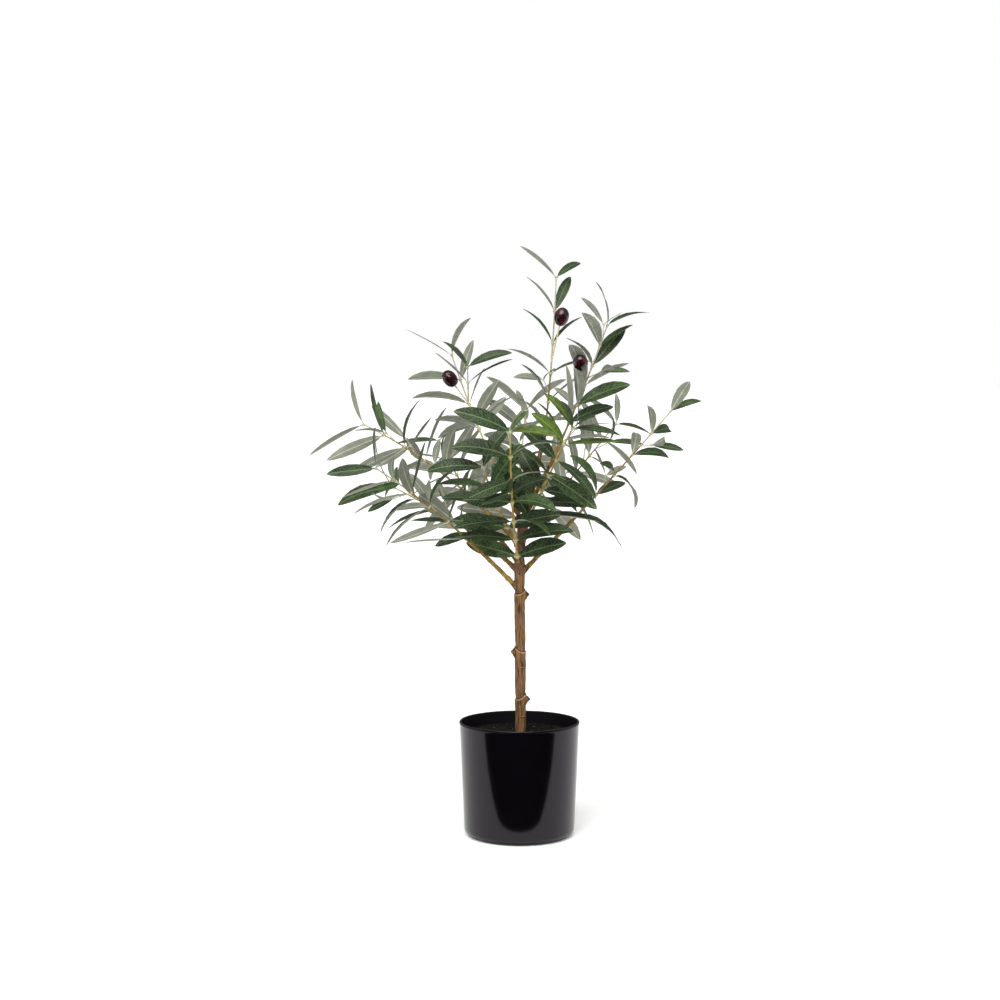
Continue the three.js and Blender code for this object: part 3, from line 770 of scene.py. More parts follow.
def pot_plastic(name, colour, smooth, shine):
    """Polypropylene moulded against a polished tool: black, near mirror-smooth, and wavy enough
    to soften the edge of a reflection. The core side of the mould, and the worn edges of rim and
    foot, are more satin."""
    material, tree, shader = new_material(name, IOR=1.49, Specular_IOR_Level=shine,
                                          Specular_Tint=(1.0, 0.9, 1.0, 1.0))
    place = add_node(tree, "ShaderNodeTexCoord", out="Object")
    # Sink marks and scuffs of a thin wall: 25 mm swells, and a 1.2 mm skin too fine to see apart.
    swell = add_node(tree, "ShaderNodeTexNoise",
                     {"Vector": place, "Scale": 40, "Detail": 1, "Roughness": 0.4})
    skin = add_node(tree, "ShaderNodeTexNoise",
                    {"Vector": place, "Scale": 800, "Detail": 2, "Roughness": 0.5})
    shade = add_node(tree, "ShaderNodeMapRange", {"Value": swell, "To Min": 0.8, "To Max": 1.2})
    tint = add_node(tree, "ShaderNodeVectorMath", {0: (*colour,), 1: shade}, operation="MULTIPLY")
    rough = add_node(tree, "ShaderNodeMapRange",
                     {"Value": skin, "From Min": 0.3, "From Max": 0.7, "To Min": smooth * 0.8,
                      "To Max": smooth * 1.25})
    tree.links.new(rough, shader.inputs["Roughness"])
    cover(shader, tint, swell, 0.05, 0.6)
    return material


def soil_finish(name, colour, light):
    """Ground bark and peat glued down dry: dull, dark and broken up at 2 mm. The peat and bark
    colours it is given are darker than their own, as painted shade of the pot's rim.
    """
    material, tree, shader = new_material(name, Roughness=0.95, Specular_IOR_Level=0.25)
    place = add_node(tree, "ShaderNodeTexCoord", out="Object")
    tint, grain = clouded(tree, place, colour, light, (0.38, 0.68), Scale=480, Detail=4,
                          Roughness=0.65)
    cover(shader, tint, grain, 0.6, 0.8)
    return material


class OLIVETREE_OT_pot(bpy.types.Operator):
    """Turn the glossy pot with its rounded foot and small lip"""

    bl_idname = "olive_tree.pot"
    bl_label = "Pot"

    def execute(self, context):
        settings = context.scene.olive_pot
        pot = mesh_object("pot_shell", *turned_mesh(pot_profile(), POT["sides"]))
        for name, smooth, shine in (("Gloss moulded polypropylene", 0.12, 0.37),
                                    ("Satin moulded polypropylene", 0.5, 0.22),
                                    ("Worn moulded polypropylene", 0.4, 0.12)):
            pot.data.materials.append(pot_plastic(name, settings.colour, smooth, shine))
        # The pot is glossy but for its inside, which is satin, and the worn side of its lip and
        # its underside.
        satin, worn = 1, 2
        inside = POT["rim"] - POT["proud"] - POT["wall"] - 0.02
        for face in pot.data.polygons:
            across, height = math.hypot(face.center.x, face.center.y) / MM, face.center.z / MM
            lip = height > POT["height"] - POT["lip"] - 0.5 and across > inside + 1.0
            if height < POT["height"] - 0.9 and face.normal.z > -0.02 and across < inside:
                face.material_index = satin
            elif (lip and face.normal.z < 0.3) or face.normal.z < -0.55:
                face.material_index = worn
        hand_over(pot, ("pot",))
        return {"FINISHED"}


def soil_lid():
    """A closed lid of soil: lumpy on top, heaped a little round the trunk."""
    edge, foot = pot_radius(SOIL_LEVEL) - POT["wall"] - SOIL["gap"], SOIL_LEVEL - SOIL["depth"]
    profile = [(0, foot), (edge - 2, foot)]
    profile += [(edge * (1 - k / SOIL["rings"]), SOIL_LEVEL) for k in range(SOIL["rings"] + 1)]
    vertices, faces = turned_mesh(profile, SOIL["sides"])
    vertices = np.array(vertices, float)
    x, y = vertices[:, 0], vertices[:, 1]
    top = vertices[:, 2] > SOIL_LEVEL - 1
    lumps = np.sin(x * 0.31 + 1) * np.cos(y * 0.27) + 0.6 * np.sin(x * 0.83 - y * 0.55)
    lumps += 0.5 * np.cos(y * 1.1 + x * 0.4)
    heap = SOIL["heap"] * np.exp(-(x * x + y * y) / 160)
    vertices[:, 2] += np.where(top, lumps * SOIL["lump"] + heap - 0.5, 0)
    return vertices, faces


def crumb_blank():
    """A broken five-sided grain for a size of one metre, which is scaled down where it lies."""
    points = [(math.cos(angle) * radius, math.sin(angle) * radius, height)
              for radius, height, turn in CRUMB_RINGS
              for angle in np.arange(5) * 2 * math.pi / 5 + turn]
    faces = [tuple(range(4, -1, -1)), tuple(range(10, 15))]
    for ring in (0, 5):
        for i in range(5):
            j = (i + 1) % 5
            faces.append((ring + i, ring + j, ring + 5 + j))
            faces.append((ring + i, ring + 5 + j, ring + 5 + i))
    return mesh_object("crumb_blank", np.array(points) / MM, faces, smooth=False)


def crumb_tree(blank, finishes, seed):
    """Crumbs dealt out over the soil, each its own size and turn: of 61, one is pale grit and
    19 are brown."""
    tree, ends = geometry_tree("Soil crumbs", ("Crumb size", "Crumbs per square metre"))
    normal = add_node(tree, "GeometryNodeInputNormal")
    level = add_node(tree, "ShaderNodeVectorMath", {0: normal, 1: (0, 0, 1)},
                     operation="DOT_PRODUCT")
    upward = add_node(tree, "FunctionNodeCompare", {"A": level, "B": 0.4}, data_type="FLOAT",
                      operation="GREATER_THAN")
    points = add_node(tree, "GeometryNodeDistributePointsOnFaces",
                      {"Mesh": ends["Geometry"], "Selection": upward,
                       "Density": ends["Crumbs per square metre"], "Seed": seed})
    kind = add_node(tree, "FunctionNodeRandomValue", {"Min": 0, "Max": 60, "Seed": seed + 1},
                    data_type="INT")
    pale, brown = (add_node(tree, "FunctionNodeCompare", {"A": kind, "B": least}, data_type="INT",
                            operation="GREATER_THAN") for least in (59, 40))
    sort = add_node(tree, "ShaderNodeMath", {0: pale, 1: brown}, operation="ADD")
    points = add_node(tree, "GeometryNodeStoreNamedAttribute",
                      {"Geometry": points, "Name": "sort", "Value": sort}, data_type="INT")
    turn, share = (add_node(tree, "FunctionNodeRandomValue",
                            {"Min": least, "Max": most, "Seed": seed + 2 + k},
                            data_type="FLOAT_VECTOR")
                   for k, (least, most) in enumerate((((0, 0, 0), (6.28, 6.28, 6.28)),
                                                      ((0.35, 0.35, 0.25), (1, 1, 0.7)))))
    size = add_node(tree, "ShaderNodeVectorMath", {0: share, "Scale": ends["Crumb size"]},
                    operation="SCALE")
    whole = deal_out(tree, points, blank, Rotation=turn, Scale=size)
    dress(tree, whole, "sort", finishes)
    return tree


class OLIVETREE_OT_soil(bpy.types.Operator):
    """Fill the pot with lumpy soil and scatter its crumbs"""

    bl_idname = "olive_tree.soil"
    bl_label = "Soil and crumbs"

    def execute(self, context):
        settings = context.scene.olive_pot
        soil = mesh_object("soil_fill", *soil_lid())
        # Peat and ground bark are darker than their own colour: painted shade of the pot's rim
        # over the soil.
        dark = soil_finish("Glued peat", settings.soil, linear("#0f0c09"))
        soil.data.materials.append(dark)
        finishes = (dark, soil_finish("Ground bark", linear("#110d0a"), linear("#221b14")),
                    soil_finish("Pale grit", linear("#3d3629"), linear("#5f5645")))
        crumbs = mesh_object("soil_crumbs", *soil_lid())
        blank = crumb_blank()
        settle(crumbs, crumb_tree(blank, finishes, CRUMBS["seed"]), crumb_size=settings.crumb,
               crumbs_per_square_metre=CRUMBS["per_square_metre"])
        bpy.data.objects.remove(blank)
        hand_over(soil, ("soil",))
        hand_over(crumbs)
        return {"FINISHED"}


# ---------------------------------------------------------------- trunk and boughs


def outward(heading, rise=0):
    """Direction that points out of the trunk on a heading, and up by a rise, in degrees."""
    turn, rise = math.radians(heading), math.radians(rise)
    return np.array((math.sin(turn) * math.cos(rise), -math.cos(turn) * math.cos(rise),
                     math.sin(rise)))


def turn_from(heading, angles):
    """How far round from a heading angles lie, between half a turn back and half a turn on."""
    return (angles - math.radians(heading) + math.pi) % (2 * math.pi) - math.pi


def ring_height(height, heading, angles):
    """Where the joint under a stub runs round the trunk: level, then up over the stub."""
    side = (1 + np.cos(angles - math.radians(heading))) / 2
    return height + JOINT["height"] + JOINT["arch"] * side ** 3


def bark_radii(z, angles):
    """Radii round the trunk at a height: not quite round, stepping in above the joint at each
    stub, with the small marks of the mould."""
    radii = SKIN["taken_off"] + trunk_radius(z) * (1 + 0.03 * np.sin(2 * angles + z / 31)
                                                   + 0.025 * np.sin(3 * angles - z / 19))
    for height, heading in STUBS:
        above = z - ring_height(height, heading, angles)
        radii += np.where(above < 0, JOINT["out"] * np.exp(above / JOINT["out_fade"]),
                          -JOINT["in"] * np.exp(-above / JOINT["in_fade"]))
    for height, heading in LEDGES:
        step = LEDGE["out"] * math.exp((height - z) / LEDGE["out_fade"])
        if z < height:
            step = -LEDGE["in"] * math.exp((z - height) / LEDGE["in_fade"])
        radii += step * np.exp(-(turn_from(heading, angles) / LEDGE["turn"]) ** 2)
    for height, heading, size, depth in BARK_MARKS:
        across = turn_from(heading, angles) * trunk_radius(z) / (size * 0.7)
        radii -= depth * np.exp(-(((z - height) / (size * 0.8)) ** 2 + across ** 2))
    return radii


def stub_ends():
    """Foot, direction and end of each sawn-off side branch."""
    ends = []
    for height, heading in STUBS:
        foot, out = trunk_axis(height), outward(heading, STUB["rise"])
        ends.append((foot, out, foot + out * STUB["reach"]))
    return ends


def trunk_parts():
    """The trunk, its stubs and the swellings that the boughs grow from."""
    angles = 2 * np.pi * np.arange(SKIN["sides"]) / SKIN["sides"]
    rings = []
    for z in np.linspace(SOIL_LEVEL - 1.5, TRUNK["top"] - 1, SKIN["rings"]):
        along = unit(trunk_axis(z + 0.5) - trunk_axis(z - 0.5))
        rings.append((trunk_axis(z), along, bark_radii(z, angles)))
    parts = [tube_mesh(rings)]
    for foot, out, end in stub_ends():
        parts.append(tube_mesh([(foot + (end - foot) * share, out, np.full(16, radius))
                                for share, radius in STUB_RADII]))
    for limb in TREE:
        if limb.row.get("leader"):
            continue
        reach = limb.share_of(0, SWELLING["reach"])
        parts.append(tube_mesh([(limb.at(reach * share), limb.along(reach * share),
                                 np.full(14, radius)) for share, radius in SWELLING["radii"]]))
    return joined(parts)


def bark_tree(finish, grain):
    """Roughen a bark surface by a grain that runs up the trunk."""
    tree, ends = geometry_tree("Bark relief", ("Relief",))
    place = add_node(tree, "GeometryNodeInputPosition")
    stretched = add_node(tree, "ShaderNodeVectorMath",
                         {0: place, 1: (grain["across"], grain["across"], grain["lengthwise"])},
                         operation="MULTIPLY")
    whole = roughen(tree, ends["Geometry"], ends["Relief"], (0.25, 0.75), (-0.6, 0.4),
                    Vector=stretched, Scale=1.0, Detail=3, Roughness=0.55, Distortion=0.6)
    dressed = add_node(tree, "GeometryNodeSetMaterial", {"Geometry": whole, "Material": finish})
    add_node(tree, "NodeGroupOutput", {"Geometry": dressed})
    return tree


def bark_finish(name, light, dark, tint, grain):
    """Polyethylene moulded with a bark grain and wiped with a dark wash, which stays in the
    hollows and leaves the ridges lighter and a little satin."""
    material, tree, shader = new_material(name, Roughness=0.62, Specular_IOR_Level=0.35)
    place = add_node(tree, "ShaderNodeTexCoord", out="Object")
    stretched = add_node(tree, "ShaderNodeMapping",
                         {"Vector": place,
                          "Scale": (grain["across"], grain["across"], grain["lengthwise"])})
    ridged, _ = clouded(tree, stretched, dark, light, (0.38, 0.62), Scale=1.0, Detail=3,
                        Roughness=0.55, Distortion=0.6)
    tinted, _ = clouded(tree, place, ridged, tint, (0.42, 0.62), 0.75, Scale=grain["patch"],
                        Detail=2)
    wiped, streak = clouded(tree, stretched, tinted, dark, (0.42, 0.66), 0.55, Scale=2.7,
                            Detail=3, Roughness=0.6)
    cover(shader, wiped, streak, 0.5, 0.4)
    return material


def wash_and_shadow_finish():
    """Sawn ends and mould marks where the wash sits dark, the dark band at each joint, and the
    painted shadow under each ledge: flat and nearly black brown.
    """
    material, tree, shader = new_material("Dark wash", Roughness=0.8, Specular_IOR_Level=0.25)
    place = add_node(tree, "ShaderNodeTexCoord", out="Object")
    tint, _ = clouded(tree, place, linear("#20130c"), linear("#4a3020"), Scale=900, Detail=3)
    cover(shader, tint)
    return material


def bark_finishes(mesh):
    """A finish number for each face of the trunk: 1 where the wash sits dark in a mark or sawn
    end, on the dark band at each joint and as painted shadow under each ledge, 2 on the paler band
    beside a joint or ledge, 0 elsewhere."""
    centres = np.array([face.center for face in mesh.polygons]) / MM
    wash_and_shadow, pale_band = np.zeros(len(centres), bool), np.zeros(len(centres), bool)
    angles = np.arctan2(centres[:, 0] - trunk_axis(SOIL_LEVEL)[0] / 2, -centres[:, 1])
    # The trunk's own bark is all nearer to its axis than this, and the stubs stand out past it.
    near = np.hypot(centres[:, 0], centres[:, 1]) < 7.5
    # At each joint, a dark band where the bark steps in and a paler band on the lip below it.
    for height, heading in STUBS:
        above = centres[:, 2] - ring_height(height, heading, angles)
        wash_and_shadow |= near & (above > -0.1) & (above < 1.0)
        pale_band |= near & (above > -1.5) & (above <= -0.1)
    # Under each ledge, where the bark above stands proud, a dark band is painted shadow. A paler
    # band runs above the edge.
    for height, heading in LEDGES:
        close = near & (np.abs(turn_from(heading, angles)) < 0.6)
        above = np.where(close, centres[:, 2] - height, 9)
        wash_and_shadow |= (above > -0.8) & (above < 0)
        pale_band |= (above >= 0) & (above < 0.9)
    spots = [(end, STUB["cut"], out) for _, out, end in stub_ends()]
    for height, heading, size, depth in BARK_MARKS:
        if depth > 0:
            out = outward(heading)
            spots.append((trunk_axis(height) + out * (trunk_radius(height) - depth),
                          size * 0.55, out))
    for centre, size, out in spots:
        apart = centres - centre
        depth = apart @ out
        flat = np.linalg.norm(apart - np.outer(depth, out), axis=1)
        wash_and_shadow |= (flat < size) & (np.abs(depth) < 0.75)
    return np.where(wash_and_shadow, 1, 2 * pale_band).astype(np.int32)


class OLIVETREE_OT_trunk(bpy.types.Operator):
    """Mould the trunk with its stubs, rings and grain"""

    bl_idname = "olive_tree.trunk"
    bl_label = "Trunk"

    def execute(self, context):
        settings = context.scene.olive_bark
        trunk = mesh_object("trunk_bark", *trunk_parts())
        remesh = trunk.modifiers.new("One skin", "REMESH")
        remesh.mode = "VOXEL"
        remesh.voxel_size = settings.detail
        ease = trunk.modifiers.new("Eased joints", "SMOOTH")
        ease.iterations = SKIN["eased"]
        # Grain of the mould: ridges about 2 mm apart and 17 mm long.
        finish = bark_finish("Moulded bark", settings.light, settings.dark, linear("#74513a"),
                             TRUNK_GRAIN)
        settle(trunk, bark_tree(finish, TRUNK_GRAIN), relief=settings.relief * TRUNK_RELIEF)
        # Finish 1 is the dark one for sawn ends, marks and joint bands, and the painted shadow
        # under the ledges. Finish 2 is the paler band beside them.
        trunk.data.materials.append(wash_and_shadow_finish())
        trunk.data.materials.append(bark_finish("Rubbed bark", linear("#a98359"),
                                                linear("#6f5032"), linear("#96724b"),
                                                TRUNK_GRAIN))
        trunk.data.polygons.foreach_set("material_index", bark_finishes(trunk.data))
        hand_over(trunk, ("trunk",))
        return {"FINISHED"}


def path_object(name, paths):
    """A mesh of bare paths, each a list of (point, radius, tone), ready for the tube tree."""
    edges, count = [], 0
    for path in paths:
        edges += [(count + k, count + k + 1) for k in range(len(path) - 1)]
        count += len(path)
    points, radii, tones = zip(*(stop for path in paths for stop in path))
    piece = mesh_object(name, points, [], edges)
    add_attributes(piece.data, "FLOAT", thick=np.array(radii) * MM)
    add_attributes(piece.data, "INT", tone=tones)
    return piece


def tube_tree(name, finishes, sides, grain):
    """A tube along every path, as thick as the path says, with a fine lumpy skin."""
    tree, ends = geometry_tree(name, ("Relief",))
    curve = add_node(tree, "GeometryNodeMeshToCurve", {"Mesh": ends["Geometry"]})
    thick = add_node(tree, "GeometryNodeInputNamedAttribute", {"Name": "thick"},
                     data_type="FLOAT")
    ring = add_node(tree, "GeometryNodeCurvePrimitiveCircle", {"Resolution": sides, "Radius": 1.0})
    tube = add_node(tree, "GeometryNodeCurveToMesh", {"Curve": curve, "Profile Curve": ring,
                                                      "Scale": thick, "Fill Caps": True})
    place = add_node(tree, "GeometryNodeInputPosition")
    whole = roughen(tree, tube, ends["Relief"], (0.3, 0.7), (-0.5, 0.5), Vector=place,
                    Scale=grain, Detail=2)
    dress(tree, whole, "tone", finishes)
    return tree


def bough_path(limb):
    """A bough from inside the trunk to just past the foot of its stem, with small knots."""
    start = limb.share_of(0, 3)
    end = limb.stem_start() + limb.share_of(limb.row["bare"], 0.6)
    steps = max(8, round(np.linalg.norm(limb.at(end) - limb.at(start)) / 1.1))
    path = []
    for k in range(steps + 1):
        share = k / steps
        knot = 0.35 * max(0, math.sin(share * 17 + limb.row["seed"])) ** 6
        path.append((limb.at(mix(start, end, share)),
                     mix(BOUGH["foot"], BOUGH["tip"], share) + knot,
                     int(limb.row["name"] in RED_BOUGHS)))
    return path


class OLIVETREE_OT_boughs(bpy.types.Operator):
    """Draw the thin boughs out of the trunk, each one tapering limb"""

    bl_idname = "olive_tree.boughs"
    bl_label = "Boughs"

    def execute(self, context):
        settings = context.scene.olive_bark
        limbs = [limb for limb in TREE if not limb.row.get("leader")]
        boughs = path_object("boughs_bark", [bough_path(limb) for limb in limbs])
        # Ochre and red-brown plastic over wire: a grain 2.4 mm wide and 6 mm long, dark hollows.
        finishes = [bark_finish("Moulded bough", settings.bough, linear("#3c2a12"),
                                linear("#a08238"), BOUGH_GRAIN),
                    bark_finish("Moulded red bough", linear("#8a5230"), linear("#4a2a17"),
                                linear("#a0552f"), BOUGH_GRAIN)]
        settle(boughs, tube_tree("Boughs", finishes, 14, 480), relief=settings.relief)
        hand_over(boughs, ["bough_" + limb.row["name"] for limb in limbs])
        return {"FINISHED"}


# ---------------------------------------------------------------- stems, collars and olives


def stem_path(limb):
    """A limb's own stem, which swells at each pair of leaves and is paler towards its tip."""
    row = limb.row
    start = limb.stem_start()
    length = np.linalg.norm(limb.at(1) - limb.at(start))
    steps = round(length / 1.2)
    golden = GOLDEN_SHARE.get(row["name"], 0.7)
    front = row["name"].startswith("front")
    node_step = LAST_PAIR / (row["pairs"] - 1)
    path = []
    for k in range(steps + 1):
        share = k / steps
        t = mix(start, 1, share)
        grown = (t - row["bare"]) / (1 - row["bare"])
        apart = abs(grown / node_step - round(grown / node_step)) * node_step
        swell = STEM["swell"] * math.exp(-(apart * length / 2.2) ** 2)
        radius = mix(STEM["foot"], STEM["tip"], share) if front else np.interp(share, *THIN_STEM)
        tone = OLIVE_GREEN if share < golden + 0.3 else PALE
        if share < golden:
            tone = GOLDEN if front else OCHRE
        path.append((limb.at(t), radius + swell, tone))
    return path


def straight_path(shoot, length, stops, radius, tone):
    """A straight path out of a stem, where radius and tone are worked out from the share."""
    return [(shoot["root"] + shoot["out"] * length * share, radius(share), tone(share))
            for share in np.linspace(0, 1, stops)]


def stem_paths():
    """Stems, twigs, shoots and olive stalks as paths."""
    paths = []
    for limb in TREE:
        paths.append(stem_path(limb))
        paths += [straight_path(twig, TWIG["length"], 24,
                                lambda share: mix(TWIG["radius"], TWIG["tip"], share),
                                lambda share: OLIVE_GREEN if share < 0.5 else PALE)
                  for twig in limb.twigs]
        paths += [straight_path(shoot, shoot["length"], 10,
                                lambda share: mix(SHOOT["radius"], SHOOT["tip"], share),
                                lambda share: PALE) for shoot in limb.shoots]
        if limb.olive:
            paths.append(straight_path(limb.olive, limb.olive["stalk"] + 1, 26,
                                       lambda share: OLIVE["stalk"] + 0.25 * (1 - share) ** 4,
                                       lambda share: STALK))
    return paths


def plastic_finish(name, colour, light, rough, spot):
    """Soft polyethylene moulded over wire and tinted in the mass: satin, with the tint running
    lighter and darker every few millimetres."""
    material, tree, shader = new_material(name, Roughness=rough, Specular_IOR_Level=0.45)
    place = add_node(tree, "ShaderNodeTexCoord", out="Object")
    tint, cloud = clouded(tree, place, colour, light, (0.35, 0.65), Scale=spot, Detail=3,
                          Roughness=0.6)
    cover(shader, tint, cloud, 0.25, 0.3)
    return material


class OLIVETREE_OT_stems(bpy.types.Operator):
    """Run the leaf stems, twigs and shoots out of the boughs"""

    bl_idname = "olive_tree.stems"
    bl_label = "Stems and twigs"

    def execute(self, context):
        settings = context.scene.olive_stem
        stems = path_object("stems_and_twigs", stem_paths())
        finishes = [
            plastic_finish("Golden stem", settings.golden, linear("#7b6a30"), 0.5, 260),
            plastic_finish("Olive green stem", linear("#8f8a5a"), linear("#a39a78"), 0.5, 260),
            plastic_finish("Pale stem", settings.pale, linear("#b9a79a"), 0.5, 260),
            plastic_finish("Pale olive stalk", linear("#a9a27c"), linear("#c2bb9a"), 0.45, 300),
            plastic_finish("Ochre stem", linear("#877237"), linear("#5c4b22"), 0.5, 260),
        ]
        settle(stems, tube_tree("Stems", finishes, 9, 700), relief=0.2 * MM)
        hand_over(stems)
        return {"FINISHED"}


def place_blanks(name, places, blank, finishes, size):
    """Lay a blank along each place's own three axes, which hold its scale: places are rows of
    root, three axes and finish number."""
    piece = mesh_object(name, [place[0] for place in places], [])
    root, *axes, sort = zip(*places)
    axes = dict(zip(("axis_x", "axis_y", "axis_z"), axes))
    add_attributes(piece.data, "FLOAT_VECTOR", root=np.array(root) * MM, **axes)
    add_attributes(piece.data, "INT", sort=sort)
    local = [vertex.co for vertex in blank.data.vertices]
    add_attributes(blank.data, "FLOAT_VECTOR", local=local)
    settle(piece, dealt_tree(name.replace("_", " "), blank, finishes), size=size)
    bpy.data.objects.remove(blank)
    hand_over(piece)


def dealt_tree(name, blank, finishes):
    """One blank on every point, laid along the point's own axes."""
    tree, ends = geometry_tree(name, ("Size",))
    whole = deal_out(tree, ends["Geometry"], blank)
    local, place, *axes = (
        add_node(tree, "GeometryNodeInputNamedAttribute", {"Name": word},
                 data_type="FLOAT_VECTOR")
        for word in ("local", "root", "axis_x", "axis_y", "axis_z"))
    sized = add_node(tree, "ShaderNodeVectorMath", {0: local, "Scale": ends["Size"]},
                     operation="SCALE")
    split = add_node(tree, "ShaderNodeSeparateXYZ", {"Vector": sized}).node
    for axis, distance in zip(axes, split.outputs):
        step = add_node(tree, "ShaderNodeVectorMath", {0: axis, "Scale": distance},
                        operation="SCALE")
        place = add_node(tree, "ShaderNodeVectorMath", {0: place, 1: step}, operation="ADD")
    moved = add_node(tree, "GeometryNodeSetPosition", {"Geometry": whole, "Position": place})
    whole = add_node(tree, "GeometryNodeRealizeInstances", {"Geometry": moved})
    dress(tree, whole, "sort", finishes)
    return tree


def collar_blank():
    """A small turned cup that a pair of leaves is pushed into, with a knuckle on each side."""
    profile = [(0, -3.2), (1.2, -3.2), (1.55, -2.2), (1.75, -0.6), (2.15, 0.6), (2.35, 1.5),
               (2.1, 2.0), (1.3, 1.7), (0, 1.7)]
    parts = [turned_mesh(profile, 10)]
    for side in (-1, 1):
        knuckle, faces = turned_mesh([(0, -1.25), (0.85, -0.85), (1.2, 0), (0.85, 0.85),
                                      (0, 1.25)], 7)
        parts.append((np.array(knuckle) + (0, side * 2.05, 0.5), faces))
    return mesh_object("collar_blank", *joined(parts))


def collar_places():
    """Root, axes and finish of a collar at every pair: cream, and pale green at a stem's tip and
    on twigs and shoots."""
    places = []
    for limb in TREE:
        row = limb.row
        thick = 1 if row["name"].startswith("front") else COLLAR["thin"]
        for k in range(row["pairs"]):
            share = k / (row["pairs"] - 1)
            t = mix(row["bare"], 1, share * LAST_PAIR)
            along = limb.along(t)
            out, _ = shoot_axes(along, row["turn"], 90)
            size = mix(COLLAR["first"], COLLAR["last"], share) * thick
            places.append((limb.at(t), np.cross(out, along) * size, out * size, along * size,
                           int(k == row["pairs"] - 1)))
        ends = [(twig, TWIG["length"] * share, COLLAR["twig"])
                for twig in limb.twigs for share in TWIG["pairs"]]
        ends += [(shoot, shoot["length"], COLLAR["shoot"]) for shoot in limb.shoots]
        for shoot, distance, size in ends:
            first, second = cross_axes(shoot["out"])
            places.append((shoot["root"] + shoot["out"] * distance, first * size, second * size,
                           shoot["out"] * size, 1))
    return places


class OLIVETREE_OT_collars(bpy.types.Operator):
    """Set a cream collar at every pair of leaves"""

    bl_idname = "olive_tree.collars"
    bl_label = "Leaf collars"

    def execute(self, context):
        settings = context.scene.olive_stem
        finishes = [
            plastic_finish("Cream collar", settings.collar, linear("#9c9261"), 0.42, 330),
            plastic_finish("Pale green collar", linear("#9aa07c"), linear("#b4b698"), 0.42, 330),
        ]
        place_blanks("leaf_collars", collar_places(), collar_blank(), finishes, 1.0)
        return {"FINISHED"}


def olive_blank():
    """A ripe olive, a little fuller below its middle, with a dimple and a nub at the stalk."""
    profile = [(0, 0.9), (0.9, 0.75), (1.5, 0.35), (1.9, 0.2)]
    for k in range(1, 18):
        angle = math.pi * (0.08 + 0.92 * k / 18)
        radius = OLIVE["radius"] * math.sin(angle) ** 0.92
        profile.append((radius, OLIVE["half"] * (1 - math.cos(angle)) - 0.1))
    profile += [(0.7, 2 * OLIVE["half"] - 0.05), (0, 2 * OLIVE["half"])]
    return mesh_object("olive_blank", *turned_mesh(profile, 28))


def olive_skin(colour):
    """Hard lacquered foam fruit: black purple with a red cast that clouds it every 8 mm, under
    a clear high gloss."""
    material, tree, shader = new_material("Lacquered olive", Roughness=0.2, IOR=1.46,
                                          Coat_Weight=0.3, Coat_Roughness=0.05)
    place = add_node(tree, "ShaderNodeTexCoord", out="Object")
    tint, _ = clouded(tree, place, colour, linear("#4a1019"), (0.45, 0.75), Scale=130, Detail=3,
                      Roughness=0.6)
    cover(shader, tint)
    return material


class OLIVETREE_OT_olives(bpy.types.Operator):
    """Hang the glossy olives on their stalks"""

    bl_idname = "olive_tree.olives"
    bl_label = "Olives"

    def execute(self, context):
        places = [(olive["root"] + olive["out"] * olive["stalk"], *cross_axes(olive["out"]),
                   olive["out"], 0) for olive in (limb.olive for limb in TREE) if olive]
        place_blanks("olives", places, olive_blank(),
                     [olive_skin(context.scene.olive_stem.olive)], OLIVE["scale"])
        return {"FINISHED"}


# ---------------------------------------------------------------- leaves


def blade(share):
    """Width of a cloth blade along its length: the leaf's outline, fuller near its foot."""
    return outline(share) ** mix(0.72, 1.15, share) if share > LEAF["stalk"] else outline(share)


def rib_share(share):
    """Half the midrib as a share of half the blade: about 0.5 mm, finer towards the tip."""
    return min(0.6, 0.085 * (1 - 0.5 * share) / max(blade(share), 0.05))


def leaf_blank():
    """One flat blade that carries where each of its points belongs on a leaf: share along,
    share across, how far it stands off the cloth and how much the fold lifts it."""
    facts, rows = [], []

    def point(share, column, lift):
        facts.append((share, column * blade(share), lift, abs(column) ** 0.85 * blade(share)))
        return len(facts) - 1

    for share in LEAF_ROWS:
        rib = rib_share(share)
        left, right = point(share, -1, 0), point(share, 1, 0)
        top = [point(share, column, lift) for column, lift in
               ((-0.55, 0.5), (-rib, 0.3), (rib, 0.3), (0.55, 0.5))]
        under = [point(share, column, -0.7) for column in (-rib, rib)]
        rows.append(([left, *top, right], [left, *under, right]))
    facts.append((1, 0, 0, 0))
    tip = len(facts) - 1
    # The tip is a last row whose corners all fall on one point.
    rows.append(([tip] * 6, [tip] * 4))
    faces, parts = [], []
    for (top, under), (next_top, next_under) in zip(rows, rows[1:]):
        for i in range(5):
            faces.append((top[i], top[i + 1], next_top[i + 1], next_top[i]))
            parts.append(0)
        for i in range(3):
            faces.append((under[i + 1], under[i], next_under[i], next_under[i + 1]))
            parts.append(2 if i == 1 else 1)
    top, under = rows[0]
    faces.append((*top[::-1], *under[1:-1]))
    parts.append(2)
    facts = np.array(facts)
    flat = np.stack((facts[:, 1] * LEAF_SIZE[0] / 2, facts[:, 0] * LEAF_SIZE[1], facts[:, 2]), 1)
    blank = mesh_object("leaf_blank", flat, [tuple(dict.fromkeys(face)) for face in faces])
    mesh = blank.data
    add_attributes(mesh, "FLOAT", **dict(zip(("share", "across", "lift", "curl"), facts.T)))
    sheet = mesh.uv_layers.new(name="UVMap")
    for loop in mesh.loops:
        x, y, _ = flat[loop.vertex_index]
        sheet.data[loop.index].uv = (0.5 + x / VEIN_SHEET, y / VEIN_SHEET)
    part = mesh.attributes.new("part", "INT", "FACE")
    part.data.foreach_set("value", parts)
    uses = {}
    for face, kind in zip(mesh.polygons, parts):
        for edge in face.edge_keys:
            uses.setdefault(edge, set()).add(min(kind, 1))
    for edge in mesh.edges:
        edge.use_edge_sharp = len(uses[edge.key]) > 1
    return blank


